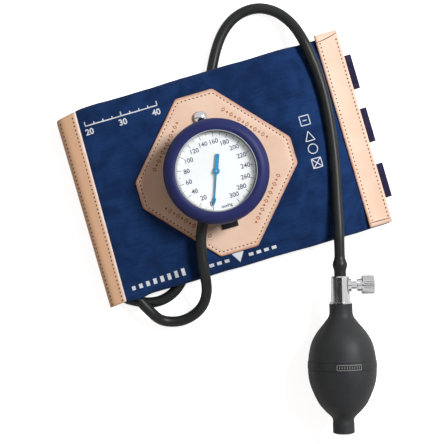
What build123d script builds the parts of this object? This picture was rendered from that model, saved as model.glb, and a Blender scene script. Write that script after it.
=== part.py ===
from build123d import *
import math
import os

# Aneroid blood pressure gauge on a folded arm cuff, with its rubber bulb and two hoses.
# Millimetres. X runs along the cuff, Y across it, Z up. The origin is on the table, under the
# middle of the gauge. The cuff lies flat, with its free end folded under it.

# Cuff cloth
cuff_height = 151.4
cuff_mid_y = 1.05
panel_left = -102.4
panel_right = 117.4
slope_start = 60.0
hose_room = 1.4
tab_clearance = 0.4
cover_t = 1.3
bladder_t = 2.8
shoulder_r = 4.2
soft_gap = 0.3
bladder_end_gap = 2.0
bladder_rim = 3.8
fold_t = 1.6
fold_gap = 0.5
tail_end = 111.0
tail_height = 148.0

# Closure
hook_pad_left = 44.0
hook_pad_right = 92.0
hook_pad_t = 0.8
tab_width = 26.7
tab_t = 1.4
tab_overlap = 15.0
tab_reach = 12.4
tab_ys = (45.1, 3.0, -40.8)

# Leather
leather_t = 1.8
strip_drop = 2.4
left_strip_width = 13.0
right_strip_width = 17.3
right_strip_rise = 2.0
patch_half_width = 60.5
patch_half_height = 61.5
patch_side_half = 10.2
patch_end_half = 14.5

# Gauge holder strap and its snap
strap_width = 12.4
strap_t = 1.5
strap_lift = 1.9
strap_low_end = 42.8
strap_skew = 1.3
strap_flat = 37.0
strap_raised = 27.0
strap_taper_at = 33.0
strap_tip_r = 4.2
snap_y = 43.0
snap_r = 4.8
snap_h = 3.0
socket_r = 4.0
socket_h = 1.2
snap_rim_t = 0.6

# Hose fittings on the cuff
gauge_port_inset = 19.4
port_collar_t = 2.2
port_gap = 1.8
port_reach = 9.0
port_stub_r = 1.3
port_bore_r = 0.8
elbow_inset = 5.8
elbow_rise = 5.2
elbow_r = 3.6
elbow_reach = 5.0
elbow_bore_r = 1.5
spigot = 4.0

# Gauge case
case_r = 30.6
case_taper = 4.6
case_wall = 2.0
case_floor_t = 1.2
shoulder_height = 7.7
case_height = 23.7
boss_wall = 0.6
clip_leg_t = 1.0
clip_plate_t = 0.8
clip_gap = 0.3
clip_half_width = 8.0
clip_half_height = 8.0
bezel_t = 1.7
bezel_skirt = 7.0
bezel_lip_t = 1.0
bezel_lip = 1.2
bumper_width = 6.6
bumper_half_height = 8.6
bumper_drop = 5.0
bumper_lip = 2.45
lens_t = 1.6
dial_t = 0.6
dial_drop = 3.4
dial_ledge = 1.0
dial_hole_r = 1.3
running_gap = 0.05

# Gauge movement
nipple_way = Vector(-0.52, -0.854, 0).normalized()
nipple_height = 3.7
nipple_r = 2.5
nipple_bore_r = 1.4
nipple_flange_t = 1.2
nipple_length = 6.0
capsule_base_t = 3.0
capsule_block_width = 7.0
capsule_block_inset = 8.6
capsule_rim = 1.0
capsule_fold_depth = 2.0
capsule_folds = 3
capsule_wall = 0.4
capsule_height = 5.2
push_travel = 1.2
push_disc_gap = 0.35
push_disc_t = 0.6
push_pin_r = 0.9
push_tip_r = 0.3
plate_rim_gap = 2.2
plate_t = 0.8
plate_spacing = 4.0
screw_clearance = 0.3
window_angles = (60.0, 150.0, 240.0)
window_inset = 11.9
window_r = 5.0
pillar_inset = 3.4
pillar_angles = (20.0, 110.0, 200.0, 322.0)
pillar_r = 2.0
pillar_neck_r = 1.4
plate_screw_r = 2.2
plate_screw_t = 0.7
plate_screw_shank_r = 0.65
case_screw_r = 2.2
case_screw_t = 0.6
case_screw_shank_r = 0.8
case_screw_depth = 4.0
sector_pivot_inset = 4.4
pinion_teeth = 10
sector_ratio = 10
sector_turn = 31.9
sector_t = 0.8
sector_gap = 0.8
tooth_share = 0.38
spindle_r = 0.6
arbor_r = 0.8
rocker_drop = 2.1
rocker_turn = 20.0
rocker_r = 0.7
finger_r = 0.5
finger_gap = 0.2
tail_arm = 3.0
tail_arm_r = 0.5
hairspring_drop = 1.4
hairspring_t = 0.15
hairspring_h = 0.5
hairspring_r = 2.0
hairspring_pitch = 1.0
hairspring_half_turns = 11

# Pointer
pointer_gap = 1.0
pointer_t = 0.5
pointer_hub_r = 2.5
pointer_tip_gap = 2.45
pointer_tail = 12.6
pointer_tail_width = 2.7
pointer_width = 1.3
pointer_spade_in = 5.0
pointer_spade_width = 2.6
zero_angle = 200.5

# Hoses
hose_r = 4.0
hose_bore_r = 2.6
run_share = 0.45
gauge_hose_lead = 11.6
gauge_hose_tail = 10.0
bulb_hose_lead = 8.6
bulb_hose_tail = 10.5

# Bulb and release valve, along the bulb's axis
bulb_x = 61.1
bulb_y = -119.9
bulb_angle = 255.0
bulb_wall = 3.0
bulb_length = 95.8
neck_r = 8.6
tail_neck_r = 8.1
neck_bore_r = 5.0
neck_length = 9.0
tail_neck_length = 11.0
belly_r = 25.5
belly_shares = ((0.22, 0.061), (0.633, 0.178), (0.876, 0.296), (1.0, 0.48), (0.935, 0.654),
               (0.61, 0.835), (0.308, 0.925))
valve_r = 7.0
valve_length = 20.5
valve_stub_r = 4.9
valve_stub_length = 8.0
valve_bore_r = 3.4
barb_r = 2.5
barb_neck_r = 2.1
barb_length = 12.0
barb_bore_r = 1.2
barb_plug = 3.0
barb_count = 3
barb_step = 3.4
sleeve_length = 15.4
sleeve_r = 5.55
sleeve_end_r = 4.5
knob_at = -13.6
boss_r = 4.8
boss_end = 8.0
bonnet_r = 2.9
bonnet_end = 12.0
collar_r = 4.9
collar_gap = 0.4
collar_t = 3.2
knob_r = 7.2
knob_end = 25.2
knob_grooves = 30
thread_pitch = 0.7
knob_turns = 1.5
bonnet_plug = 1.2
bonnet_plug_r = 2.3
release_seat_t = 0.5
release_port_r = 0.6
needle_gap = 0.03
bleed_r = 0.5
spindle_cone = 0.3
release_pin_r = 0.9
release_spindle_r = 1.5
ball_r = 1.9
ball_travel = 0.8
outlet_seat_x = 4.4
seat_bore_r = 1.1
seat_t = 1.6
retainer_t = 0.8
spring_r = 1.3
spring_wire_r = 0.15
spring_turns = 4
inlet_r = 4.9
inlet_length = 9.0
inlet_flange_r = 6.4
inlet_flange_t = 1.0
inlet_bore_r = 1.3
inlet_disc_r = 3.0
inlet_disc_t = 0.5
inlet_travel = 0.8
inlet_seat_in = 5.0
inlet_seat_t = 1.2
inlet_slot = 1.0
valve_play = 0.05

# Worked out from the sizes above
panel_t = 2 * cover_t + bladder_t + 2 * soft_gap
panel_bottom = fold_t + 2 * hose_r + hose_room
panel_low = fold_t + tab_t + tab_clearance
panel_top = panel_bottom + panel_t
panel_low_y = cuff_mid_y - cuff_height / 2
slope_end = panel_right
bladder_right = slope_start - bladder_end_gap
right_strip_left = panel_right - right_strip_width
tab_root = tail_end - tab_overlap
tab_tip = tail_end + tab_reach
slope_top_low = panel_low + 2 * cover_t
pocket_bottom = panel_bottom + cover_t
pocket_top = panel_top - cover_t
fold_x = panel_left - leather_t - fold_gap - fold_t / 2
fold_low_z = fold_t / 2
fold_high_z = (panel_bottom + panel_top) / 2
patch_top = panel_top + leather_t
strap_low_z = patch_top
strap_high_z = patch_top + strap_lift
case_bottom = strap_high_z + strap_t + clip_gap + clip_plate_t
clip_top = case_bottom
case_floor = case_bottom + case_floor_t
case_shoulder = case_bottom + shoulder_height
case_top = case_bottom + case_height
case_inner_r = case_r - case_wall
case_foot_r = case_r - case_taper
dial_r = case_r - dial_ledge - running_gap * 3
lens_r = case_r - 0.2
lens_z = case_top
bezel_r = case_r + running_gap + bezel_t
bezel_opening_r = case_r - bezel_lip
bumper_in_r = bezel_r + running_gap
bumper_opening_r = bezel_r - bumper_lip
bezel_top = lens_z + lens_t + bezel_lip_t
bezel_bottom = case_top - bezel_skirt
bumper_mid = case_top - bumper_drop
bumper_low = bumper_mid - bumper_half_height
bumper_high = bumper_mid + bumper_half_height
dial_z = case_top - dial_drop
pointer_z = dial_z + dial_t + pointer_gap
upper_plate_z = dial_z - screw_clearance - plate_screw_t - plate_t
lower_plate_z = upper_plate_z - plate_spacing - plate_t
plate_r = case_inner_r - plate_rim_gap
pillar_ring_r = case_foot_r - pillar_inset
window_ring_r = plate_r - window_inset
capsule_base_r = case_foot_r / 2
capsule_block_end = case_r - capsule_block_inset
capsule_outer_r = capsule_base_r - capsule_rim
capsule_inner_r = capsule_outer_r - capsule_fold_depth
pointer_length = dial_r - pointer_tip_gap
pointer_spade_at = pointer_length - pointer_spade_in
sector_z = lower_plate_z + plate_t + sector_gap
rocker_z = lower_plate_z - rocker_drop
hairspring_z = upper_plate_z - hairspring_drop
nipple_z = case_floor + nipple_height
gear_centres = plate_r - sector_pivot_inset
gear_module = 2 * gear_centres / (pinion_teeth * (1 + sector_ratio))
pinion_pitch_r = gear_module * pinion_teeth / 2
sector_pitch_r = pinion_pitch_r * sector_ratio
rocker_arm = push_travel / math.tan(math.radians(rocker_turn))
push_disc_r = rocker_arm - rocker_r - push_disc_gap
capsule_top = case_floor + capsule_base_t + capsule_height
push_top = rocker_z - 0.4 - 0.15
sector_x = rocker_arm + finger_r + finger_gap + tail_arm_r
sector_y = -math.sqrt((pinion_pitch_r + sector_pitch_r) ** 2 - sector_x ** 2)
line_of_centres = math.degrees(math.atan2(-sector_y, -sector_x))
bulb_top = Vector(bulb_x, bulb_y, belly_r)
bulb_way = Vector(math.cos(math.radians(bulb_angle)), math.sin(math.radians(bulb_angle)), 0)
bulb_plane = Plane(origin=bulb_top, x_dir=(0, 0, 1), z_dir=bulb_way)
knob_way = Vector(-bulb_way.Y, bulb_way.X, 0)
knob_plane = Plane(origin=bulb_top + bulb_way * knob_at, x_dir=(0, 0, 1), z_dir=knob_way)
hose_end = bulb_top - bulb_way * (valve_length + sleeve_length)
release_travel = thread_pitch * knob_turns
collar_start = bonnet_end + collar_gap
collar_end = collar_start + collar_t

os.makedirs("parts", exist_ok=True)


def save(name, *solids):
    """Writes one node: a single solid, or a group of separate solids."""
    shape = solids[0] if len(solids) == 1 else Compound(children=list(solids))
    shape.label = name
    export_step(shape, "parts/" + name + ".step")


def turned(*points):
    """A solid of revolution about Z from its outline of (radius, height) points."""
    return revolve(Plane.XZ * make_face(Polyline(*points, close=True)), Axis.Z)


def disc(radius, bottom, top, x=0.0, y=0.0):
    return Pos(x, y, bottom) * extrude(Circle(radius), top - bottom)


def ring(outer, inner, bottom, top):
    return turned((inner, bottom), (outer, bottom), (outer, top), (inner, top))


def block(x0, x1, y0, y1, z0, z1):
    middle = Pos((x0 + x1) / 2, (y0 + y1) / 2, (z0 + z1) / 2)
    return middle * Box(x1 - x0, y1 - y0, z1 - z0)


def across(outline, height, mid_y=cuff_mid_y):
    """An outline of (x, z) points carried across the cuff."""
    return Pos(0, mid_y, 0) * extrude(Plane.XZ * outline, height / 2, both=True)


def polar(radius, degrees):
    return radius * math.cos(math.radians(degrees)), radius * math.sin(math.radians(degrees))


# Cuff

def slope(high, low):
    """The gentle slope on the right of the cuff, from one height down to another."""
    middle = ((slope_start + slope_end) / 2, (high + low) / 2)
    first = TangentArc((slope_start, high), middle, tangent=(1, 0))
    second = TangentArc(middle, (slope_end, low), tangent=first % 1)
    return first, second


def front_outline():
    first, second = slope(panel_top, slope_top_low)
    low_first, low_second = slope(pocket_bottom, panel_low + cover_t)
    shoulder_z = panel_top - shoulder_r
    return make_face([
        Line((panel_left, pocket_bottom), (panel_left, shoulder_z)),
        TangentArc((panel_left, shoulder_z), (panel_left + shoulder_r, panel_top), tangent=(0, 1)),
        Line((panel_left + shoulder_r, panel_top), (slope_start, panel_top)),
        first,
        second,
        Line((slope_end, slope_top_low), (slope_end, panel_low + cover_t)),
        low_second,
        low_first,
        Line((slope_start, pocket_bottom), (panel_left, pocket_bottom)),
    ])


def back_outline():
    first, second = slope(panel_bottom, panel_low)
    high_first, high_second = slope(pocket_bottom, panel_low + cover_t)
    return make_face([
        Line((panel_left, pocket_bottom), (panel_left, panel_bottom)),
        Line((panel_left, panel_bottom), (slope_start, panel_bottom)),
        first,
        second,
        Line((slope_end, panel_low), (slope_end, panel_low + cover_t)),
        high_second,
        high_first,
        Line((slope_start, pocket_bottom), (panel_left, pocket_bottom)),
    ])


pocket_left = panel_left + bladder_rim
pocket_low_y = panel_low_y + bladder_rim
pocket_high_y = cuff_mid_y + cuff_height / 2 - bladder_rim
pocket = block(pocket_left, bladder_right + soft_gap, pocket_low_y, pocket_high_y,
               pocket_bottom, pocket_top)
bladder = block(pocket_left + soft_gap, bladder_right, pocket_low_y + soft_gap,
                pocket_high_y - soft_gap, pocket_bottom + soft_gap, pocket_top - soft_gap)

# The gauge hose ends on a nipple in the lower edge, the bulb hose on an elbow under the corner.
gauge_port_z = (panel_bottom + panel_top) / 2 + 0.4
gauge_port = Vector(panel_left + gauge_port_inset, panel_low_y, gauge_port_z)
gauge_port_way = Vector(-0.43, 0.903, 0).normalized()
port_plane = Plane(origin=gauge_port, x_dir=(0, 0, 1), z_dir=gauge_port_way)
elbow_top = Vector(panel_left + elbow_inset, panel_low_y + elbow_rise, pocket_bottom)
elbow_z = fold_t + hose_r + soft_gap
elbow_way = Vector(0.848, -0.53, 0).normalized()

front_cover = across(front_outline(), cuff_height) - pocket
port_hole = port_plane * Pos(0, 0, -2) * (
    extrude(Circle(port_stub_r + running_gap), port_reach + 3))
save("cuff_front_cover", front_cover - port_hole)

elbow_hole = disc(elbow_r + running_gap, panel_bottom - 1, pocket_bottom + 1,
                  elbow_top.X, elbow_top.Y)
save("cuff_back_cover", across(back_outline(), cuff_height) - elbow_hole)
save("bladder", bladder - port_plane * extrude(Circle(port_stub_r + running_gap),
                                               port_reach + 1))

collar_back = -port_collar_t - port_gap
save("bladder_nipple", port_plane * turned(
    (port_bore_r, collar_back - spigot), (nipple_r, collar_back - spigot),
    (nipple_r, collar_back), (hose_r, collar_back), (hose_r, -port_gap),
    (port_stub_r, -port_gap), (port_stub_r, port_reach), (port_bore_r, port_reach)))
gauge_hose_end = gauge_port + gauge_port_way * collar_back

elbow_plane = Plane(origin=(elbow_top.X, elbow_top.Y, elbow_z), x_dir=(0, 0, 1), z_dir=elbow_way)
elbow = disc(elbow_r, elbow_z, elbow_top.Z, elbow_top.X, elbow_top.Y)
elbow += Pos(elbow_top.X, elbow_top.Y, elbow_z) * Sphere(elbow_r)
elbow += elbow_plane * extrude(Circle(elbow_r), elbow_reach)
elbow += elbow_plane * extrude(Circle(nipple_r), elbow_reach + spigot)
elbow -= elbow_plane * extrude(Circle(elbow_bore_r), 3 * port_reach)
elbow -= disc(elbow_bore_r, elbow_z, elbow_top.Z + 1, elbow_top.X, elbow_top.Y)
save("bladder_elbow", elbow)
bulb_hose_start = Vector(elbow_top.X, elbow_top.Y, elbow_z) + elbow_way * elbow_reach

# Free end, folded under on a fold that opens like the spine of a book
fold = block(fold_x - fold_t / 2, fold_x + fold_t / 2, -tail_height / 2, tail_height / 2,
             fold_low_z, fold_high_z)
for edge_z in (fold_low_z, fold_high_z):
    fold += Pos(fold_x, 0, edge_z) * Rot(90, 0, 0) * Cylinder(fold_t / 2, tail_height)
save("fold_spine", Pos(0, cuff_mid_y, 0) * fold)

tail_left = fold_x + fold_t / 2 + fold_gap
tail_half = tail_height / 2
save("tail_panel", block(tail_left, tail_end, cuff_mid_y - tail_half, cuff_mid_y + tail_half,
                         0, fold_t))
save("hook_pad", block(hook_pad_left, hook_pad_right, cuff_mid_y - tail_half + 6,
                       cuff_mid_y + tail_half - 6, fold_t, fold_t + hook_pad_t))
save("closure_tabs", *[
    block(tab_root, tab_tip, y - tab_width / 2, y + tab_width / 2, fold_t, fold_t + tab_t)
    for y in tab_ys])

# Leather


def left_strip():
    shoulder_z = panel_top - shoulder_r
    top_x = panel_left + shoulder_r
    outer_r = shoulder_r + leather_t
    strip_low = fold_high_z - strip_drop
    right = panel_left - leather_t + left_strip_width
    return make_face([
        Line((panel_left, strip_low), (panel_left, shoulder_z)),
        TangentArc((panel_left, shoulder_z), (top_x, panel_top), tangent=(0, 1)),
        Line((top_x, panel_top), (right, panel_top)),
        Line((right, panel_top), (right, patch_top)),
        Line((right, patch_top), (top_x, patch_top)),
        TangentArc((panel_left - leather_t, shoulder_z), (top_x, shoulder_z + outer_r),
                   tangent=(0, 1)),
        Line((panel_left - leather_t, shoulder_z), (panel_left - leather_t, strip_low)),
        Line((panel_left - leather_t, strip_low), (panel_left, strip_low)),
    ])


def right_strip():
    """A strip that follows the slope of the cuff's right edge."""
    low = slope(panel_top, slope_top_low)
    high = slope(panel_top + leather_t, slope_top_low + leather_t)
    band = make_face([
        *low,
        Line((slope_end, slope_top_low), (slope_end, slope_top_low + leather_t)),
        *high,
        Line((slope_start, panel_top), (slope_start, panel_top + leather_t)),
    ])
    cutter = Pos((slope_start + right_strip_left) / 2, panel_top) * (
        Rectangle(right_strip_left - slope_start, 8 * panel_t))
    return band - cutter


save("left_leather_strip", across(left_strip(), cuff_height))
save("right_leather_strip", across(right_strip(), cuff_height, cuff_mid_y + right_strip_rise))

patch_outline = Polyline(
    (patch_half_width, patch_side_half), (patch_end_half, patch_half_height),
    (-patch_end_half, patch_half_height), (-patch_half_width, patch_side_half),
    (-patch_half_width, -patch_side_half), (-patch_end_half, -patch_half_height),
    (patch_end_half, -patch_half_height), (patch_half_width, -patch_side_half), close=True)
patch = Pos(0, 0, panel_top) * extrude(make_face(patch_outline), leather_t)
socket_hole = disc(socket_r + running_gap, patch_top - socket_h, patch_top + 1, 0, snap_y)
save("leather_patch", patch - socket_hole)

# Holder strap, raised over the clip, with a snap at its upper end


def strap_outline():
    low = [(-strap_low_end, strap_low_z), (-strap_flat, strap_low_z),
           (-strap_raised, strap_high_z), (strap_raised, strap_high_z),
           (strap_flat, strap_low_z), (snap_y + strap_tip_r, strap_low_z)]
    high = [(y, z + strap_t) for y, z in reversed(low)]
    return make_face(Polyline(*low, *high, close=True))


strap_half = strap_width / 2
strap_plan = make_face(Polyline(
    (-strap_half - strap_skew, -strap_low_end), (strap_half - strap_skew, -strap_low_end),
    (strap_half, strap_taper_at), (strap_tip_r, snap_y), (-strap_tip_r, snap_y),
    (-strap_half, strap_taper_at), close=True)) + Pos(0, snap_y) * Circle(strap_tip_r)
strap = extrude(Plane.YZ * strap_outline(), strap_half + strap_skew, both=True)
strap &= Pos(0, 0, strap_low_z) * extrude(strap_plan, strap_high_z + strap_t - strap_low_z)
save("gauge_strap", strap)
snap_base = strap_low_z + strap_t
cap_rise = snap_h - snap_rim_t
cap_ball_r = (snap_r ** 2 + cap_rise ** 2) / (2 * cap_rise)
cap = disc(snap_r, snap_base, snap_base + snap_rim_t, 0, snap_y)
cap += Pos(0, snap_y, snap_base + snap_h - cap_ball_r) * Sphere(cap_ball_r) & (
    block(-snap_r, snap_r, snap_y - snap_r, snap_y + snap_r, snap_base + snap_rim_t,
          snap_base + snap_h + 1))
save("strap_snap_cap", cap)
save("snap_socket", disc(socket_r, patch_top - socket_h, patch_top, 0, snap_y)
     - disc(socket_r / 2, patch_top - socket_h / 2, patch_top + 1, 0, snap_y))

# Gauge case and what closes it

nipple_plane = Plane(origin=(0, 0, nipple_z), x_dir=(0, 0, 1), z_dir=nipple_way)
case_boss_r = hose_r + boss_wall
case_boss_end = case_r + boss_wall
case_outside = turned((0, case_bottom), (case_foot_r, case_bottom), (case_r, case_shoulder),
                      (case_r, case_top), (0, case_top))
case_outside += nipple_plane * extrude(Circle(case_boss_r), case_boss_end)
case_inside = turned(
    (0, case_floor), (case_foot_r - 0.8, case_floor), (case_inner_r, case_shoulder + 0.6),
    (case_inner_r, dial_z), (case_r - dial_ledge, dial_z), (case_r - dial_ledge, case_top),
    (0, case_top))
gauge_case = case_outside - case_inside
gauge_case -= nipple_plane * extrude(Circle(nipple_r + running_gap), 2 * case_r)
pillar_places = [polar(pillar_ring_r, angle) for angle in pillar_angles]
for x, y in pillar_places:
    gauge_case -= disc(case_screw_shank_r + running_gap, case_bottom - 1, case_floor + 1, x, y)
save("gauge_case", gauge_case)


def case_screw(x, y):
    screw = disc(case_screw_r, case_bottom - case_screw_t, case_bottom, x, y)
    screw -= block(x - 3, x + 3, y - 0.25, y + 0.25, case_bottom - 1, case_bottom - 0.3)
    return screw + disc(case_screw_shank_r, case_bottom, case_floor + case_screw_depth, x, y)


save("case_screws", *[case_screw(x, y) for x, y in pillar_places])

clip_low = strap_low_z + (strap_high_z - strap_low_z - clip_leg_t) / 2
clip_inner = strap_width / 2 + 0.6
clip = block(-clip_half_width, clip_inner + clip_leg_t, -clip_half_height, clip_half_height,
             clip_top - clip_plate_t, clip_top)
clip += block(clip_inner, clip_inner + clip_leg_t, -clip_half_height, clip_half_height,
              clip_low, clip_top)
clip += block(-clip_half_width, clip_inner + clip_leg_t, -clip_half_height, clip_half_height,
              clip_low, clip_low + clip_leg_t)
save("gauge_clip", clip)

nipple_flange = case_boss_end + running_gap
nipple_start = nipple_flange + nipple_flange_t
save("gauge_nipple", nipple_plane * turned(
    (nipple_bore_r, capsule_block_end), (nipple_r, capsule_block_end),
    (nipple_r, nipple_flange), (hose_r, nipple_flange), (hose_r, nipple_start),
    (nipple_r, nipple_start), (nipple_r, nipple_start + nipple_length),
    (nipple_bore_r, nipple_start + nipple_length)))
gauge_hose_start = Vector(0, 0, nipple_z) + nipple_way * nipple_start

save("lens_gasket", ring(dial_r, dial_r - 0.8, dial_z + dial_t, lens_z))
save("lens", disc(lens_r, lens_z, lens_z + lens_t))
save("bezel_ring", turned(
    (case_r + running_gap, bezel_bottom), (bezel_r, bezel_bottom), (bezel_r, bezel_top - 0.4),
    (bezel_r - 0.4, bezel_top), (bezel_opening_r, bezel_top),
    (bezel_opening_r, lens_z + lens_t), (case_r + running_gap, lens_z + lens_t)))



def within(radius, low, high):
    """The part of a turned section that lies within a radius, between two heights."""
    return Pos(radius / 2, (low + high) / 2) * Rectangle(radius, high - low)


bumper = Pos(bumper_in_r, bumper_mid) * Ellipse(bumper_width, bumper_half_height)
bumper -= within(bumper_in_r, bumper_low - running_gap, bezel_top + running_gap)
bumper -= within(bumper_opening_r, bumper_low - running_gap, bumper_high + running_gap)
save("bumper_ring", revolve(Plane.XZ * bumper, Axis.Z))

dial = disc(dial_r, dial_z, dial_z + dial_t) - disc(dial_hole_r, dial_z - 1, dial_z + dial_t + 1)
save("dial_plate", dial)

# Movement


def corrugated():
    """Outline of the capsule: folds that swell and narrow, with a closed top."""
    step = capsule_height / capsule_folds
    outside = [(capsule_inner_r, case_floor + capsule_base_t)]
    for fold_number in range(capsule_folds):
        foot = case_floor + capsule_base_t + fold_number * step
        outside += [(capsule_outer_r, foot + step / 2), (capsule_inner_r, foot + step)]
    inside = [(radius - 2 * capsule_wall, z) for radius, z in reversed(outside[:-1])]
    top_inside = [(0, capsule_top), (0, capsule_top - capsule_wall),
                  (capsule_inner_r - 3 * capsule_wall, capsule_top - capsule_wall)]
    return outside + top_inside + inside


save("capsule_bellows", turned(*corrugated()))

base_top = case_floor + capsule_base_t
capsule_base = disc(capsule_base_r, case_floor, base_top)
feed_z = case_floor + capsule_base_t / 2
capsule_block = extrude(Rectangle(2 * (nipple_z - case_floor), capsule_block_width),
                        capsule_block_end)
capsule_block -= extrude(Rectangle(2 * capsule_base_r, 2 * capsule_base_r), capsule_base_r - 0.5)
capsule_base += nipple_plane * capsule_block
feed_plane = Plane(origin=(0, 0, feed_z), x_dir=(0, 0, 1), z_dir=nipple_way)
feed_bore_r = 0.7
feed_turn = capsule_base_r + 3
capsule_base -= feed_plane * extrude(Circle(feed_bore_r), feed_turn)
capsule_base -= nipple_plane * Pos(0, 0, feed_turn - 1) * extrude(Circle(nipple_bore_r), 20)
capsule_base -= disc(feed_bore_r, feed_z, base_top + 1)
capsule_base -= disc(feed_bore_r, feed_z, nipple_z, nipple_way.X * (feed_turn - 0.6),
                     nipple_way.Y * (feed_turn - 0.6))
save("capsule_base", capsule_base)

save("push_pin", turned(
    (0, capsule_top), (push_disc_r, capsule_top), (push_disc_r, capsule_top + push_disc_t),
    (push_pin_r, capsule_top + push_disc_t), (push_pin_r, push_top - 0.8),
    (push_tip_r, push_top), (0, push_top)))

lower_top = lower_plate_z + plate_t
upper_top = upper_plate_z + plate_t
bracket_ys = (3.2, sector_y - tail_arm - 1.9)
bracket_half = 0.5
bracket_low = rocker_z - 1.3

lower_plate = disc(plate_r, lower_plate_z, lower_top)
for bracket_y in bracket_ys:
    lower_plate += block(rocker_arm - 1.3, rocker_arm + 1.3, bracket_y - bracket_half,
                         bracket_y + bracket_half, bracket_low, lower_plate_z + 0.1)
rocker_way = Pos(rocker_arm, 0, rocker_z) * Rot(90, 0, 0) * (
    Cylinder(rocker_r + running_gap, 3 * plate_r))
lower_plate -= rocker_way & block(rocker_arm - 2, rocker_arm + 2, -2 * plate_r, 2 * plate_r,
                                  rocker_z - 2, rocker_z + 2)
lower_plate -= disc(spindle_r + running_gap, lower_plate_z - 1, lower_top + 1)
lower_plate -= disc(arbor_r + running_gap, lower_plate_z - 1, lower_top + 1, sector_x, sector_y)
finger_y = sector_y - tail_arm
lower_plate -= block(rocker_arm - 0.9, rocker_arm + 2.4, finger_y - 0.9, finger_y + 0.9,
                     lower_plate_z - 1, lower_top + 1)
for x, y in pillar_places:
    lower_plate -= disc(pillar_r - 0.4 + running_gap, lower_plate_z - 1, lower_top + 1, x, y)
window_places = [polar(window_ring_r, angle) for angle in window_angles]
for x, y in window_places:
    lower_plate -= disc(window_r, lower_plate_z - 1, lower_top + 1, x, y)
save("movement_lower_plate", lower_plate)

hairspring_outer = hairspring_r + hairspring_half_turns * hairspring_pitch / 2
stud_side = -1 if hairspring_half_turns % 2 else 1
stud_x = stud_side * (hairspring_outer + 0.8)
upper_plate = disc(plate_r, upper_plate_z, upper_top)
upper_plate += disc(0.6, hairspring_z, upper_plate_z + 0.1, stud_x, 0)
upper_plate -= disc(spindle_r + running_gap, upper_plate_z - 1, upper_top + 1)
upper_plate -= disc(arbor_r + running_gap, upper_plate_z - 1, upper_top + 1, sector_x, sector_y)
for x, y in pillar_places:
    upper_plate -= disc(pillar_neck_r + running_gap, upper_plate_z - 1, upper_top + 1, x, y)
for x, y in window_places:
    upper_plate -= disc(window_r, upper_plate_z - 1, upper_top + 1, x, y)
save("movement_upper_plate", upper_plate)


def pillar(x, y):
    foot_hole_r = case_screw_shank_r + running_gap
    foot_hole_z = case_floor + case_screw_depth + 0.5
    top_hole_r = plate_screw_shank_r + running_gap
    top_hole_z = upper_top - 3
    return Pos(x, y, 0) * turned(
        (foot_hole_r, case_floor), (pillar_r + 0.4, case_floor), (pillar_r + 0.4, lower_plate_z),
        (pillar_r - 0.4, lower_plate_z), (pillar_r - 0.4, upper_plate_z),
        (pillar_neck_r, upper_plate_z), (pillar_neck_r, upper_top), (top_hole_r, upper_top),
        (top_hole_r, top_hole_z), (0, top_hole_z), (0, foot_hole_z), (foot_hole_r, foot_hole_z))


def plate_screw(x, y):
    head = disc(plate_screw_r, upper_top, upper_top + plate_screw_t)
    head -= block(-3, 3, -0.25, 0.25, upper_top + 0.35, upper_top + 1)
    return Pos(x, y, 0) * (head + disc(plate_screw_shank_r, upper_top - 2.5, upper_top + 0.1))


save("movement_pillars", *[pillar(x, y) for x, y in pillar_places])
save("movement_screws", *[plate_screw(x, y) for x, y in pillar_places])

# Rocking shaft: an arm under the middle, and an upright finger beside the sector's tail
shaft_low_y = bracket_ys[1] - bracket_half
shaft_high_y = bracket_ys[0] + bracket_half
rocker = Pos(rocker_arm, (shaft_low_y + shaft_high_y) / 2, rocker_z) * Rot(90, 0, 0) * (
    Cylinder(rocker_r, shaft_high_y - shaft_low_y))
rocker += block(-0.8, rocker_arm, -0.7, 0.7, rocker_z - 0.4, rocker_z + 0.3)
rocker += disc(finger_r, rocker_z, sector_z + sector_t + 0.1, rocker_arm, finger_y)
save("rocking_shaft", rocker)


def tooth(pitch_r, outward, middle_angle, half_pitch_angle):
    """One gear tooth as a four-sided outline that narrows to its tip."""
    root_r = pitch_r - 1.3 * gear_module
    tip_r = pitch_r + 0.75 * gear_module
    lean = 0.25 * half_pitch_angle
    foot = half_pitch_angle * 2 * tooth_share
    return [
        polar(root_r - outward, middle_angle - foot - lean),
        polar(tip_r, middle_angle - foot + 2 * lean),
        polar(tip_r, middle_angle + foot - 2 * lean),
        polar(root_r - outward, middle_angle + foot + lean),
    ]


pinion_step = 360 / pinion_teeth
pinion_face = Circle(pinion_pitch_r - 1.3 * gear_module)
pinion_start = line_of_centres + 180
for number in range(pinion_teeth):
    corners = tooth(pinion_pitch_r, 0.2, pinion_start + number * pinion_step, pinion_step / 2)
    pinion_face += make_face(Polyline(*corners, close=True))
spindle_top = pointer_z + pointer_t + 0.8
pinion = Pos(0, 0, sector_z - 0.4) * extrude(pinion_face, sector_t + 0.8)
pinion += disc(spindle_r, lower_plate_z, spindle_top)
pinion += disc(hairspring_r - 0.5, sector_z + sector_t + 0.6, hairspring_z + hairspring_h + 0.2)
save("pinion_spindle", pinion)

sector_step = pinion_step / sector_ratio
sector_lead = 2
sector_last = -math.ceil(sector_turn / sector_step) - 2
sector_root_r = sector_pitch_r - 1.3 * gear_module
high_angle = line_of_centres + (sector_lead + 0.5) * sector_step
low_angle = line_of_centres + (sector_last - 0.5) * sector_step
mid_angle = (high_angle + low_angle) / 2
rim_in = sector_root_r - 2.2


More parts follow.
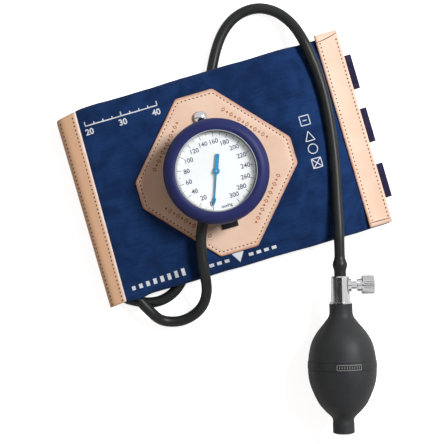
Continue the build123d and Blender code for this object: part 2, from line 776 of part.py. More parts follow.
def sector_outline():
    outer = ThreePointArc(polar(sector_root_r, low_angle), polar(sector_root_r, mid_angle),
                          polar(sector_root_r, high_angle))
    inner = ThreePointArc(polar(rim_in, low_angle), polar(rim_in, mid_angle),
                          polar(rim_in, high_angle))
    rim = make_face([outer, inner,
                     Line(polar(sector_root_r, low_angle), polar(rim_in, low_angle)),
                     Line(polar(sector_root_r, high_angle), polar(rim_in, high_angle))])
    arm = make_face(Polyline((0, 0), polar(rim_in + 1, mid_angle - 7), polar(rim_in + 1, mid_angle),
                             polar(rim_in + 1, mid_angle + 7), close=True))
    face = rim + arm + Circle(2.2)
    face += Pos(0, -tail_arm / 2) * Rectangle(2 * tail_arm_r, tail_arm)
    face += Pos(0, -tail_arm) * Circle(tail_arm_r)
    for number in range(sector_last, sector_lead):
        corners = tooth(sector_pitch_r, 0.2, line_of_centres + (number + 0.5) * sector_step,
                        sector_step / 2)
        face += make_face(Polyline(*corners, close=True))
    return face


sector = Pos(sector_x, sector_y, sector_z) * extrude(sector_outline(), sector_t)
sector += disc(2.0, sector_z - 0.4, sector_z + sector_t + 0.6, sector_x, sector_y)
sector += disc(arbor_r, lower_plate_z, upper_top, sector_x, sector_y)
save("sector_gear", sector)


def spiral_side(offset):
    """Half turns whose ends lie on the X axis, each a little wider than the last."""
    edges = []
    for number in range(hairspring_half_turns):
        side = 1 if number % 2 == 0 else -1
        start = side * (hairspring_r + number * hairspring_pitch / 2 + offset)
        end = -side * (hairspring_r + (number + 1) * hairspring_pitch / 2 + offset)
        radius = abs(end - start) / 2
        edges.append(ThreePointArc((start, 0), ((start + end) / 2, side * radius), (end, 0)))
    return edges


inner_side = spiral_side(-hairspring_t / 2)
outer_side = spiral_side(hairspring_t / 2)
spring_face = make_face([
    *inner_side, *outer_side,
    Line(inner_side[0] @ 0, outer_side[0] @ 0),
    Line(inner_side[-1] @ 1, outer_side[-1] @ 1)])
save("hairspring", Pos(0, 0, hairspring_z) * extrude(spring_face, hairspring_h))
print("hairspring gap", round(hairspring_pitch - hairspring_t, 2))

# Pointer, at rest on zero
half_tail = pointer_tail_width / 2
half_point = pointer_width / 2
half_spade = pointer_spade_width / 2
pointer_shape = make_face(Polyline(
    (half_point, 0), (half_point * 0.8, pointer_spade_at - 3),
    (half_spade, pointer_spade_at - 1.5), (half_spade * 0.9, pointer_spade_at),
    (half_point * 0.5, pointer_spade_at + 2.2), (0.1, pointer_length),
    (-0.1, pointer_length), (-half_point * 0.5, pointer_spade_at + 2.2),
    (-half_spade * 0.9, pointer_spade_at), (-half_spade, pointer_spade_at - 1.5),
    (-half_point * 0.8, pointer_spade_at - 3), (-half_point, 0), (-half_tail, -2),
    (-half_tail, -pointer_tail), (half_tail, -pointer_tail), (half_tail, -2), close=True))
pointer = extrude(pointer_shape, pointer_t) + extrude(Circle(pointer_hub_r), pointer_t + 0.5)
pointer -= Pos(0, 0, -1) * extrude(Circle(spindle_r + 0.02), 4)
save("pointer", Pos(0, 0, pointer_z) * Rot(0, 0, -zero_angle) * pointer)

# Hoses


def hose(name, points):
    """A hose of straight runs and tangent arcs, and its length."""
    points = [Vector(point) for point in points]
    radii = []
    for before, corner, after in zip(points, points[1:], points[2:]):
        turn = (corner - before).get_angle(after - corner)
        shorter = min((corner - before).length, (after - corner).length)
        radii.append(run_share * shorter / math.tan(math.radians(turn / 2)))
    path = FilletPolyline(*points, radius=radii)
    section = Plane(origin=path @ 0, z_dir=path % 0) * (Circle(hose_r) - Circle(hose_bore_r))
    tube = sweep(section, path=path)
    area = math.pi * (hose_r ** 2 - hose_bore_r ** 2)
    print(name, "length", round(path.length, 1), "smallest radius", round(min(radii), 1),
          "volume share", round(tube.volume / (area * path.length), 4))
    print(name, "radii", [round(radius, 1) for radius in radii])
    save(name, tube)


gauge_hose_route = [
    gauge_hose_start, gauge_hose_start + nipple_way * gauge_hose_lead, (-27.2, -52.0, 26.6),
    (-29.2, -67.0, 25.4), (-30.3, -84.0, 20.0), (-39.5, -96.0, 13.0), (-54.0, -100.6, 10.0),
    (-68.5, -96.0, 10.5), gauge_hose_end - gauge_port_way * gauge_hose_tail, gauge_hose_end]
bulb_hose_route = [
    bulb_hose_start, bulb_hose_start + elbow_way * bulb_hose_lead, (-75.4, -80.8, 4.8),
    (-64.8, -82.0, 4.4), (-54.2, -79.2, 4.9), (-44.6, -73.0, 6.2), (-35.8, -61.8, 6.5),
    (-26.8, -43.8, 6.3), (-17.4, -20.0, 6.5), (-9.4, 6.0, 6.3), (-1.4, 31.0, 6.5),
    (7.6, 53.6, 6.3), (17.2, 73.6, 6.2), (25.8, 90.2, 4.9), (35.8, 103.2, 4.4),
    (48.8, 111.4, 4.4), (64.0, 112.8, 4.4), (77.8, 106.4, 5.2), (87.4, 94.2, 10.2),
    (92.4, 79.0, 15.6), (94.8, 61.6, 16.2), (95.4, 43.6, 15.2), (94.2, 26.0, 15.0),
    (92.0, 8.0, 15.4), (88.8, -11.0, 16.4), (84.6, -30.0, 18.2), (79.9, -48.4, 20.8),
    (76.0, -64.6, 24.2), hose_end - bulb_way * bulb_hose_tail, hose_end]
hose("gauge_hose", gauge_hose_route)
hose("bulb_hose", bulb_hose_route)

# Release valve, along the bulb's axis, which starts at the bulb's mouth


def along(*points):
    """A solid turned about the bulb's axis, from (distance along it, radius) points."""
    return bulb_plane * turned(*[(radius, distance) for distance, radius in points])


sleeve_start = -valve_length - sleeve_length
sleeve_mid = sleeve_start + 7.1
sleeve_outline = [
    (sleeve_start, hose_r), (sleeve_start + 3.4, 4.6), (sleeve_mid, sleeve_r),
    (sleeve_mid + 2.6, 5.0), (sleeve_mid + 4.4, sleeve_end_r), (-valve_length, sleeve_end_r)]
sleeve_curve = make_face([
    Spline(*[(radius, distance) for distance, radius in sleeve_outline[:-1]]),
    Line((sleeve_end_r, sleeve_mid + 4.4), (sleeve_end_r, -valve_length)),
    Line((sleeve_end_r, -valve_length), (hose_bore_r, -valve_length)),
    Line((hose_bore_r, -valve_length), (hose_bore_r, sleeve_start)),
    Line((hose_bore_r, sleeve_start), (hose_r, sleeve_start))])
save("hose_end_sleeve", bulb_plane * revolve(Plane.XZ * sleeve_curve, Axis.Z))

barb_seat = -valve_length + barb_plug
barb = [(-valve_length - barb_length, barb_bore_r), (-valve_length - barb_length, barb_neck_r)]
for number in range(barb_count):
    foot = -valve_length - barb_length + 1 + number * barb_step
    barb += [(foot, barb_r), (foot + barb_step - 0.8, barb_r),
             (foot + barb_step - 0.5, barb_neck_r), (foot + barb_step - 0.1, barb_neck_r)]
barb += [(barb_seat, barb_neck_r), (barb_seat, barb_bore_r)]
save("valve_barb", along(*barb))

barb_hole_r = barb_neck_r + 0.02
valve_body = along(
    (-valve_length, barb_hole_r), (-valve_length, valve_r - 0.8),
    (-valve_length + 0.8, valve_r), (-1.2, valve_r), (-1.2, neck_r - 0.4), (-0.2, neck_r - 0.4),
    (-0.2, valve_stub_r), (valve_stub_length, valve_stub_r),
    (valve_stub_length, barb_hole_r))
boss = knob_plane * (extrude(Circle(boss_r), boss_end))
core = along((-valve_length, 0), (-valve_length, barb_hole_r), (barb_seat, barb_hole_r),
             (barb_seat, valve_bore_r), (valve_stub_length + 1, valve_bore_r),
             (valve_stub_length + 1, 0))
valve_body = valve_body + boss - core
release_seat = valve_bore_r + release_seat_t
valve_body -= knob_plane * Pos(0, 0, release_seat) * (
    extrude(Circle(bonnet_plug_r + running_gap), boss_end))
valve_body -= knob_plane * extrude(Circle(release_port_r), boss_end)
bleed_hole = Pos(-valve_r / 2, 0, release_seat + 2 * bleed_r) * Rot(0, 90, 0) * (
    Cylinder(bleed_r, valve_r))
valve_body -= knob_plane * bleed_hole
save("valve_body", valve_body)

# Bonnet, O-ring and the screw that lets the air out
bonnet_hole_r = release_spindle_r + running_gap
save("valve_bonnet", knob_plane * turned(
    (bonnet_hole_r, boss_end - bonnet_plug), (bonnet_plug_r, boss_end - bonnet_plug),
    (bonnet_plug_r, boss_end), (bonnet_r, boss_end), (bonnet_r, bonnet_end),
    (bonnet_hole_r, bonnet_end)))
o_ring_r = (bonnet_plug_r - release_spindle_r) / 2 - running_gap
o_ring_mid = release_spindle_r + running_gap + o_ring_r
o_ring_z = boss_end - bonnet_plug - running_gap - o_ring_r
save("valve_o_ring", knob_plane * Pos(0, 0, o_ring_z) * Torus(o_ring_mid, o_ring_r))

# The full width of the spindle stays inside the O-ring when the screw is opened
spindle_foot = o_ring_z - o_ring_r - running_gap - release_travel - spindle_cone
pin_top = spindle_foot - running_gap
needle_tip = release_seat - release_port_r + needle_gap
save("release_pin", knob_plane * turned(
    (0, needle_tip), (release_pin_r, needle_tip + release_pin_r), (release_pin_r, pin_top),
    (0, pin_top)))
save("release_spindle", knob_plane * turned(
    (0, spindle_foot), (release_pin_r, spindle_foot),
    (release_spindle_r, spindle_foot + spindle_cone),
    (release_spindle_r, knob_end - 3), (0, knob_end - 3)))

knob = turned(
    (release_spindle_r + 0.02, collar_start), (collar_r - 0.4, collar_start),
    (collar_r, collar_start + 0.4), (collar_r, collar_end), (knob_r - 0.6, collar_end),
    (knob_r, collar_end + 0.6), (knob_r, knob_end - 0.8), (knob_r - 0.8, knob_end),
    (0, knob_end), (0, knob_end - 3 + 0.02), (release_spindle_r + 0.02, knob_end - 3 + 0.02))
groove = Box(0.7, 0.7, knob_end)
for number in range(knob_grooves):
    x, y = polar(knob_r + 0.1, number * 360 / knob_grooves)
    knob -= Pos(x, y, knob_end / 2 + collar_end + 1.2) * (
        Rot(0, 0, number * 360 / knob_grooves + 45) * groove)
save("release_knob", knob_plane * knob)

# Outlet check valve in the body's inner end: seat, ball, and the spring that holds it shut
seated = valve_bore_r - 0.02
save("outlet_seat", along(
    (outlet_seat_x, seat_bore_r), (outlet_seat_x, seated), (outlet_seat_x + seat_t, seated),
    (outlet_seat_x + seat_t, seat_bore_r)))
ball_x = outlet_seat_x - math.sqrt(ball_r ** 2 - seat_bore_r ** 2) - needle_gap
spring_end = ball_x - math.sqrt(ball_r ** 2 - spring_r ** 2) - spring_wire_r - valve_play
spring_length = 2 * spring_wire_r * spring_turns + 3 * ball_travel
spring_start = spring_end - spring_length
retainer_x = spring_start - spring_wire_r - valve_play - retainer_t
save("outlet_ball", bulb_plane * Pos(0, 0, ball_x) * Sphere(ball_r))
save("outlet_retainer", along(
    (retainer_x, seat_bore_r), (retainer_x, seated), (retainer_x + retainer_t, seated),
    (retainer_x + retainer_t, seat_bore_r)))


def biarc(start, start_way, end, end_way):
    """Two arcs that meet smoothly, from one point and direction to another."""
    chord = end - start
    a = 2 * (start_way.dot(end_way) - 1)
    b = -2 * chord.dot(start_way + end_way)
    reach = (-b - math.sqrt(b * b - 4 * a * chord.dot(chord))) / (2 * a)
    first_corner = start + start_way * reach
    second_corner = end - end_way * reach
    joint = (first_corner + second_corner) / 2
    joint_way = (second_corner - first_corner).normalized()
    return [TangentArc(start, joint, tangent=start_way),
            TangentArc(joint, end, tangent=joint_way)]


def coil(radius, wire_r, turns, length):
    """A coil spring about Z, wound from quarter turns."""
    pitch = length / turns
    gap = pitch - 2 * wire_r
    print("outlet spring gap", round(gap, 2))
    edges = []
    for number in range(4 * turns):
        ends = []
        for angle in (number * 90, number * 90 + 90):
            x, y = polar(radius, angle)
            way_x, way_y = polar(radius, angle + 90)
            ends.append(Vector(x, y, pitch * angle / 360))
            ends.append(Vector(way_x, way_y, pitch / (2 * math.pi)).normalized())
        edges += biarc(*ends)
    path = Wire(edges)
    return sweep(Plane(origin=path @ 0, z_dir=path % 0) * Circle(wire_r), path=path)


spring = coil(spring_r, spring_wire_r, spring_turns, spring_length)
save("outlet_spring", bulb_plane * Pos(0, 0, spring_start) * spring)

# Rubber bulb with the air inlet in its tail


def bulb_side(inward):
    """The bulb's belly as a smooth curve of (radius, distance) points, drawn in by a wall."""
    swell = belly_r - neck_r
    belly_length = bulb_length - neck_length - tail_neck_length
    belly = [(neck_r + 0.6, neck_length)]
    belly += [(neck_r + swell * out, neck_length + belly_length * share)
              for out, share in belly_shares]
    belly.append((tail_neck_r + 0.3, bulb_length - tail_neck_length))
    if not inward:
        return belly
    middle = (neck_length + bulb_length - tail_neck_length) / 2
    shrink = 1 - inward / (bulb_length / 2 - neck_length)
    return [(radius - inward, middle + (distance - middle) * shrink)
            for radius, distance in belly]


outside = bulb_side(0)
inside = bulb_side(bulb_wall)
bulb_face = make_face([
    Spline(*outside), Line(outside[0], (neck_r, 0)), Line((neck_r, 0), (neck_bore_r, 0)),
    Line((neck_bore_r, 0), (neck_bore_r, inside[0][1])),
    Line((neck_bore_r, inside[0][1]), inside[0]), Spline(*inside),
    Line(inside[-1], (neck_bore_r, inside[-1][1])),
    Line((neck_bore_r, inside[-1][1]), (neck_bore_r, bulb_length)),
    Line((neck_bore_r, bulb_length), (tail_neck_r, bulb_length)),
    Line((tail_neck_r, bulb_length), outside[-1])])
save("bulb", bulb_plane * revolve(Plane.XZ * bulb_face, Axis.Z))

inlet_end = bulb_length + inlet_flange_t
inlet_seat_x = bulb_length - inlet_seat_in
inlet_pocket_r = inlet_disc_r + 0.4
inlet_start = bulb_length - inlet_length
seat_low = inlet_seat_x - inlet_seat_t / 2
seat_high = inlet_seat_x + inlet_seat_t / 2
disc_x = seat_low - valve_play
pocket_start = disc_x - inlet_disc_t - inlet_travel - valve_play
inlet = along(
    (inlet_end, inlet_pocket_r), (inlet_end, inlet_flange_r), (bulb_length, inlet_flange_r),
    (bulb_length, inlet_r), (inlet_start, inlet_r), (inlet_start, inlet_bore_r),
    (pocket_start, inlet_bore_r), (pocket_start, inlet_pocket_r), (seat_low, inlet_pocket_r),
    (seat_low, inlet_bore_r), (seat_high, inlet_bore_r), (seat_high, inlet_pocket_r))
# Slots that let the air round the lifted disc
for turn in (0, 90):
    inlet -= bulb_plane * Pos(0, 0, (inlet_start + pocket_start) / 2) * Rot(0, 0, turn) * (
        Box(2 * inlet_pocket_r, inlet_slot, pocket_start - inlet_start))
save("inlet_valve_body", inlet)
save("inlet_disc", along((disc_x, 0), (disc_x, inlet_disc_r), (disc_x - inlet_disc_t, inlet_disc_r),
                         (disc_x - inlet_disc_t, 0)))
filter_x = inlet_end - 0.8
gauze = along((filter_x, 0), (filter_x, inlet_disc_r + 0.35), (filter_x - 0.5, inlet_disc_r + 0.35),
              (filter_x - 0.5, 0))
for row in range(-2, 3):
    for column in range(-2, 3):
        gauze -= bulb_plane * Pos(row * 1.05, column * 1.05, filter_x - 1) * (
            Box(0.6, 0.6, 4))
save("inlet_filter", gauze)
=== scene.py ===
"""An aneroid blood pressure gauge strapped to a folded arm cuff, dressed as Blender operators."""
import math
import random

import bpy
from bpy.props import FloatProperty, FloatVectorProperty, IntProperty, PointerProperty
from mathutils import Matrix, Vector, noise
from mathutils.bvhtree import BVHTree


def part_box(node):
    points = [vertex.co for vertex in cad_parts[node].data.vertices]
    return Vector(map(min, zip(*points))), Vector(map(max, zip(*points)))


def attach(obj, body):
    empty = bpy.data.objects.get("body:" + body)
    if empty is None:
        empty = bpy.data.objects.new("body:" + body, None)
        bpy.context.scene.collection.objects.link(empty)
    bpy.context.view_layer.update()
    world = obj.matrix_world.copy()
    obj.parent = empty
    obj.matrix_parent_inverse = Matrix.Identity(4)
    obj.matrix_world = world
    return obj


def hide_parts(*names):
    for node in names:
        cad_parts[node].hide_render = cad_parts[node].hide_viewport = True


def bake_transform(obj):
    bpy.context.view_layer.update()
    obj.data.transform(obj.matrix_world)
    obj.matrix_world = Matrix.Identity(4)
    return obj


bl_info = {
    "name": "Arm cuff and gauge",
    "version": (1, 0, 0),
    "blender": (4, 5, 0),
    "location": "View3D > Sidebar > Cuff",
    "description": "Dresses the cuff, its gauge, hoses, valve and bulb, and sets the studio",
    "category": "Object",
}

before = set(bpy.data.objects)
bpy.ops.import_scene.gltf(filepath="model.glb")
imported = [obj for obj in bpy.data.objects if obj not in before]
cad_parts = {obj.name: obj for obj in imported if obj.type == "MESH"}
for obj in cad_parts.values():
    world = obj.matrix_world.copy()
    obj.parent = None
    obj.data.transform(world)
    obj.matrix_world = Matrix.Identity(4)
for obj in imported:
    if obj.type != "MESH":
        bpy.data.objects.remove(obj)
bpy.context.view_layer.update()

MM = 0.001
MAIN = "cuff_gauge_and_bulb"
TAIL = "tail"


def corners(node):
    """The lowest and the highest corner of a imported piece."""
    return [Vector(corner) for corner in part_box(node)]


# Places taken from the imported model, in metres
PANEL_LOW, PANEL_HIGH = corners("cuff_front_cover")
BACK_LOW = corners("cuff_back_cover")[0]
TAIL_LOW, TAIL_HIGH = corners("tail_panel")
PATCH_LOW, PATCH_HIGH = corners("leather_patch")
STRIP_LOW, STRIP_HIGH = corners("left_leather_strip")
EDGE_LOW, EDGE_HIGH = corners("right_leather_strip")
DIAL_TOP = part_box("dial_plate")[1][2]

# Thickness of what is laid, folded and sewn
LEATHER_THICK = PATCH_HIGH.z - PATCH_LOW.z
CLOTH_THICK = 1.3 * MM
WEBBING_THICK = 1.1 * MM
STRAP_THICK = 1.5 * MM

# Half the length of the patch's short upright sides, and of its short level ones
PATCH_SIDE, PATCH_END = 10.2 * MM, 14.5 * MM

# Where the cuff starts to fall towards its right edge, how low its top gets there, and the
# height that its underside falls from
SLOPE_START = 60 * MM
SLOPE_END_TOP = BACK_LOW.z + 2.6 * MM
SLOPE_BOTTOM_HIGH = 11.0 * MM

# The bulb's mouth and the way it points, and the two hoses' routes
BULB_MOUTH = Vector((61.1, -119.9, 25.5)) * MM
BULB_WAY = Vector((math.cos(math.radians(255)), math.sin(math.radians(255)), 0))
BULB_SIDE = Vector((-BULB_WAY.y, BULB_WAY.x, 0))
GAUGE_HOSE_ROUTE = [
    (-16.876, -27.715, 28.2), (-22.909, -37.623, 28.2), (-27.2, -52.0, 26.6),
    (-29.4, -66.6, 25.4), (-31.3, -83.6, 18.0), (-39.8, -95.8, 9.6), (-55.2, -101.0, 5.2),
    (-70.8, -96.8, 6.4), (-76.981, -87.29, 14.0), (-81.28, -78.261, 14.4)]
BULB_HOSE_ROUTE = [
    (-92.36, -72.1, 5.9), (-85.068, -76.658, 5.9), (-75.4, -80.6, 4.8), (-65.2, -81.0, 4.4),
    (-55.8, -77.4, 4.9), (-47.8, -70.6, 6.2), (-38.8, -59.6, 6.5), (-28.0, -43.0, 6.3),
    (-17.4, -20.0, 6.5), (-9.4, 6.0, 6.3), (-1.4, 31.0, 6.5), (7.6, 53.6, 6.3),
    (17.2, 73.6, 6.2), (25.8, 90.2, 4.9), (35.8, 103.2, 4.4), (48.8, 111.4, 4.4),
    (64.0, 112.8, 4.4), (77.4, 106.2, 5.2), (86.0, 94.0, 10.2), (90.4, 79.4, 15.6),
    (93.0, 62.0, 16.2), (94.4, 43.8, 15.2), (93.8, 26.0, 15.0), (91.8, 8.0, 15.4),
    (88.8, -11.0, 16.4), (84.6, -30.0, 18.2), (79.9, -48.4, 20.8), (76.0, -64.6, 24.2),
    (73.109, -75.079, 25.5), (70.391, -85.222, 25.5)]

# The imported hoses' lengths, in metres
GAUGE_HOSE_LENGTH, BULB_HOSE_LENGTH = 0.1279, 0.4924

# The lamps' places, as metres to the picture's right, up it and above the table, and their sizes
KEY_PLACE, KEY_SIZE = (0.75, 0.42, 0.95), 0.42
FILL_PLACE, FILL_SIZE = (-0.9, 0.1, 0.8), 0.9


def from_srgb(red, green, blue):
    """A colour given as 0 to 255 screen values, as the linear values that shaders take."""
    def one(value):
        value /= 255
        return value / 12.92 if value <= 0.04045 else ((value + 0.055) / 1.055) ** 2.4
    return (one(red), one(green), one(blue))


def colour_property(name, description, default):
    return FloatVectorProperty(name=name, description=description, subtype="COLOR", size=3,
                               min=0, max=1, default=default)


def length_property(name, description, default):
    return FloatProperty(name=name, description=description, default=default,
                         unit="LENGTH", subtype="DISTANCE", precision=5)


# Settings

class StudioSettings(bpy.types.PropertyGroup):
    camera_height: length_property("Camera height", "Height of the lens above the table", 0.95)
    camera_x: length_property("Camera X", "Along the cuff from the gauge", -0.0065)
    camera_y: length_property("Camera Y", "Across the cuff from the gauge", -0.0367)
    camera_roll: FloatProperty(name="Camera roll", description="Turn of the picture",
                               default=math.radians(-16.4), unit="ROTATION", subtype="ANGLE")
    lens: FloatProperty(name="Lens", description="Focal length in millimetres", default=100.8)
    key_power: FloatProperty(name="Key light", description="Power of the large soft lamp",
                             default=15.2, unit="POWER")
    fill_power: FloatProperty(name="Fill light", description="Power of the lamp opposite",
                              default=0.7, unit="POWER")
    sky_strength: FloatProperty(name="Sky", description="Strength of the even light",
                                default=0.18)
    sky_colour: colour_property("Sky colour", "Tint of the light in the shadows",
                                (1.0, 0.86, 0.76))
    room_strength: FloatProperty(name="Room", description="How bright shiny things see the room",
                                 default=0.8)
    table_glow: FloatProperty(name="Table glow", description="Keeps the table white on screen",
                              default=0.83)


class CuffSettings(bpy.types.PropertyGroup):
    cloth: colour_property("Cloth", "Main colour of the woven cloth", from_srgb(28, 60, 112))
    cloth_shade: colour_property("Cloth shade", "Darker colour in its mottling",
                                 from_srgb(17, 43, 86))
    # The cloth underneath, painted darker than the front cloth: painted shade, since it lies under
    # the cuff
    lining: colour_property("Lining", "Colour of the inner side", from_srgb(22, 42, 80))
    webbing: colour_property("Webbing", "Colour of the closure loops", from_srgb(58, 54, 88))
    marks: colour_property("Marks", "Colour of the printed marks", from_srgb(226, 232, 240))
    thread_pitch: length_property("Thread pitch", "Distance between threads", 0.00055)
    mottle_size: length_property("Mottle size", "Size of the light and dark patches", 0.017)
    puff: FloatProperty(name="Puff", description="Air pressure used to fill the pad out",
                        default=3.0)
    puff_limit: length_property("Puff limit", "Furthest that the cloth may move", 0.0013)
    cloth_step: length_property("Cloth step", "Size of the pad's mesh", 0.0036)


class LeatherSettings(bpy.types.PropertyGroup):
    leather: colour_property("Leather", "Natural leather", from_srgb(254, 224, 202))
    deep: colour_property("Grain", "Colour in the pores", from_srgb(238, 188, 156))
    # Round the patch this is a burnished edge; on the right strip's inner edge, which faces away
    # from the light, it is also painted shade
    burnish: colour_property("Burnished edge", "Darkened edge", from_srgb(170, 84, 44))
    # Partly the pale cut edge, partly a painted highlight where the left strip's inner edge faces
    # the light
    cut_edge: colour_property("Cut edge", "Pale cut edge", from_srgb(255, 236, 228))
    thread: colour_property("Thread", "Sewing thread", from_srgb(86, 44, 30))
    # Needle holes are flat dark discs: this colour is painted shade inside the holes
    hole: colour_property("Needle holes", "Colour in the holes", from_srgb(74, 34, 22))
    stitch_pitch: length_property("Stitch pitch", "Distance between stitches", 0.0031)
    stitch_r: length_property("Thread radius", "Half the thread's thickness", 0.00043)
    inset: length_property("Stitch inset", "Distance of the seam from the edge", 0.0028)


class GaugeSettings(bpy.types.PropertyGroup):
    ring: colour_property("Ring", "Rubber ring round the gauge", from_srgb(38, 44, 98))
    case: colour_property("Case", "Enamel of the case", from_srgb(36, 40, 60))
    dial: colour_property("Dial", "Enamel of the dial", from_srgb(208, 211, 212))
    ink: colour_property("Ink", "Figures and divisions", from_srgb(40, 50, 80))
    pointer: colour_property("Pointer", "Enamel of the pointer", from_srgb(20, 120, 160))
    full_scale: IntProperty(name="Full scale", description="Highest figure", default=300)
    numbered: IntProperty(name="Numbered every", description="Step between figures", default=20)
    figure_height: length_property("Figure height", "Size of the figures", 0.0047)
    figure_r: length_property("Figure circle", "Radius of the circle of figures", 0.0216)
    zero: FloatProperty(name="Zero", description="Clockwise from the top", subtype="ANGLE",
                        default=math.radians(200.5), unit="ROTATION")
    sweep: FloatProperty(name="Sweep", description="From zero to full scale", subtype="ANGLE",
                         default=math.radians(319.0), unit="ROTATION")


class RubberSettings(bpy.types.PropertyGroup):
    hose_diameter: length_property("Hose diameter", "Outer diameter of the hose", 0.008)
    hose: colour_property("Hose", "Colour of the hoses", from_srgb(28, 33, 32))
    bulb: colour_property("Bulb", "Colour of the bulb", from_srgb(44, 46, 48))
    band_from: length_property("Band start", "From the bulb's mouth", 0.0420)
    band_to: length_property("Band end", "From the bulb's mouth", 0.0479)
    band_rise: length_property("Band height", "How far the band stands proud", 0.00022)


class MetalSettings(bpy.types.PropertyGroup):
    chrome: colour_property("Chrome", "Plated pieces", from_srgb(226, 226, 228))
    brass: colour_property("Brass", "Machined brass", from_srgb(206, 170, 92))
    steel: colour_property("Steel", "Bare steel", from_srgb(176, 178, 182))
    bronze: colour_property("Bronze", "Pressed sheet", from_srgb(190, 140, 82))
    roughness: FloatProperty(name="Roughness", description="Of the plating", default=0.09)


# Node groups: effects that several materials share

def set_inputs(tree, node, inputs):
    """Sets a node's inputs, or wires them where the value is a socket."""
    for label, value in inputs.items():
        if isinstance(value, bpy.types.NodeSocket):
            tree.links.new(value, node.inputs[label])
        else:
            node.inputs[label].default_value = value


def add_node(tree, kind, inputs=None, **values):
    """A new node, with its inputs set or wired."""
    node = tree.nodes.new("ShaderNode" + kind)
    for key, value in values.items():
        setattr(node, key, value)
    set_inputs(tree, node, inputs or {})
    return node


FLOAT, COLOUR = "NodeSocketFloat", "NodeSocketColor"
BLACK = (0, 0, 0, 1)


def node_group(name, inputs):
    """An empty group with its named inputs, and with a colour, a height and a roughness out."""
    tree = bpy.data.node_groups.new(name, "ShaderNodeTree")
    for label, default in inputs.items():
        kind = COLOUR if default == BLACK else FLOAT
        socket = tree.interface.new_socket(label, in_out="INPUT", socket_type=kind)
        socket.default_value = default
    for label, kind in (("Colour", COLOUR), ("Height", FLOAT), ("Roughness", FLOAT)):
        tree.interface.new_socket(label, in_out="OUTPUT", socket_type=kind)
    return tree, tree.nodes.new("NodeGroupInput").outputs


def put_out(tree, colour, height, roughness):
    """Ends a group with what it gives."""
    out = tree.nodes.new("NodeGroupOutput")
    set_inputs(tree, out, {"Colour": colour, "Height": height, "Roughness": roughness})
    return tree


def calculate(tree, operation, first, second=0.0):
    return add_node(tree, "Math", {0: first, 1: second}, operation=operation).outputs[0]


def mixed(tree, factor, first, second):
    """A colour between two, by a factor."""
    node = add_node(tree, "Mix", {0: factor, 6: first, 7: second}, data_type="RGBA")
    return node.outputs[2]


def ramp(tree, value, low, high, to_low=0.0, to_high=1.0):
    node = add_node(tree, "MapRange", {0: value, 1: low, 2: high, 3: to_low, 4: to_high})
    return node.outputs[0]


def own_place(tree, stretch=None):
    """The place on the object, stretched where three factors are given."""
    place = add_node(tree, "TexCoord").outputs["Object"]
    if stretch is None:
        return place
    return add_node(tree, "Mapping", {"Vector": place, "Scale": stretch}).outputs[0]


def spots(tree, scale, detail=2.0, stretch=None, **more):
    """Cloudy spots that stay where they are on the object."""
    return add_node(tree, "TexNoise", {"Vector": own_place(tree, stretch), "Scale": scale,
                                       "Detail": detail, **more}).outputs[0]


def weave_group():
    """Plain weave: threads over and under, painted darker between them and lighter on top as
    painted shade and highlight, slubs along them, and soft light and dark patches.
    """
    tree, given = node_group("Plain weave", {
        "Colour": BLACK, "Shade": BLACK, "Thread Pitch": 0.0006, "Mottle Size": 0.02,
        "Mottle": 0.6})
    split = add_node(tree, "SeparateXYZ", {0: own_place(tree)}).outputs
    along = calculate(tree, "ADD", split[0], split[2])
    turn = calculate(tree, "DIVIDE", 2 * math.pi, given["Thread Pitch"])
    threads = calculate(tree, "MULTIPLY", *(
        calculate(tree, "SINE", calculate(tree, "MULTIPLY", axis, turn))
        for axis in (along, split[1])))
    slub = spots(tree, 1.0, stretch=(60, 900, 200))
    fibre = spots(tree, 2600.0, 3.0)
    patch = spots(tree, calculate(tree, "DIVIDE", 1.0, given["Mottle Size"]), 4.0,
                  Roughness=0.55, Distortion=0.6)
    mottle = calculate(tree, "MULTIPLY", ramp(tree, patch, 0.38, 0.62), given["Mottle"])
    shade = mixed(tree, mottle, given["Colour"], given["Shade"])
    # Darker where threads dip and lighter where they rise: painted shade and highlight of the
    # weave; the slubs and fibres below are random tone
    lift = calculate(tree, "ADD", ramp(tree, threads, -1, 1, 0.80, 1.10),
                     ramp(tree, slub, 0.3, 0.7, -0.10, 0.10))
    lift = calculate(tree, "ADD", lift, ramp(tree, fibre, 0.3, 0.7, -0.06, 0.06))
    scaled = add_node(tree, "VectorMath", {0: shade, "Scale": lift}, operation="SCALE")
    return put_out(tree, scaled.outputs[0], calculate(tree, "ADD", threads, fibre),
                   ramp(tree, fibre, 0.3, 0.7, 0.78, 0.92))


def grain_group():
    """Natural leather: pores, fine creases and cloudy colour."""
    tree, given = node_group("Leather grain", {
        "Colour": BLACK, "Deep": BLACK, "Pore Size": 0.0012})
    pores = add_node(tree, "TexVoronoi", {
        "Vector": own_place(tree), "Scale": calculate(tree, "DIVIDE", 1.0, given["Pore Size"])},
        feature="DISTANCE_TO_EDGE").outputs[0]
    crease = spots(tree, 420.0, 6.0, Roughness=0.65)
    cloud = spots(tree, 46.0, 4.0)
    depth = calculate(tree, "MULTIPLY", ramp(tree, pores, 0.0, 0.09, 1.0, 0.0), 0.16)
    tone = calculate(tree, "ADD", depth, ramp(tree, cloud, 0.35, 0.7, 0.0, 0.38))
    return put_out(tree, mixed(tree, tone, given["Colour"], given["Deep"]),
                   calculate(tree, "SUBTRACT", crease, depth),
                   ramp(tree, crease, 0.3, 0.7, 0.46, 0.62))


def moulded_group():
    """Moulded rubber or plastic: a fine matt skin with a little dust."""
    tree, given = node_group("Moulded skin", {"Colour": BLACK, "Dust": 0.06, "Roughness": 0.5})
    cloud = spots(tree, 70.0, 5.0)
    dust = calculate(tree, "MULTIPLY", ramp(tree, cloud, 0.42, 0.72), given["Dust"])
    return put_out(tree, mixed(tree, dust, given["Colour"], (0.5, 0.5, 0.48, 1)),
                   spots(tree, 1500.0, 4.0),
                   calculate(tree, "ADD", given["Roughness"],
                             ramp(tree, cloud, 0.3, 0.7, -0.06, 0.08)))


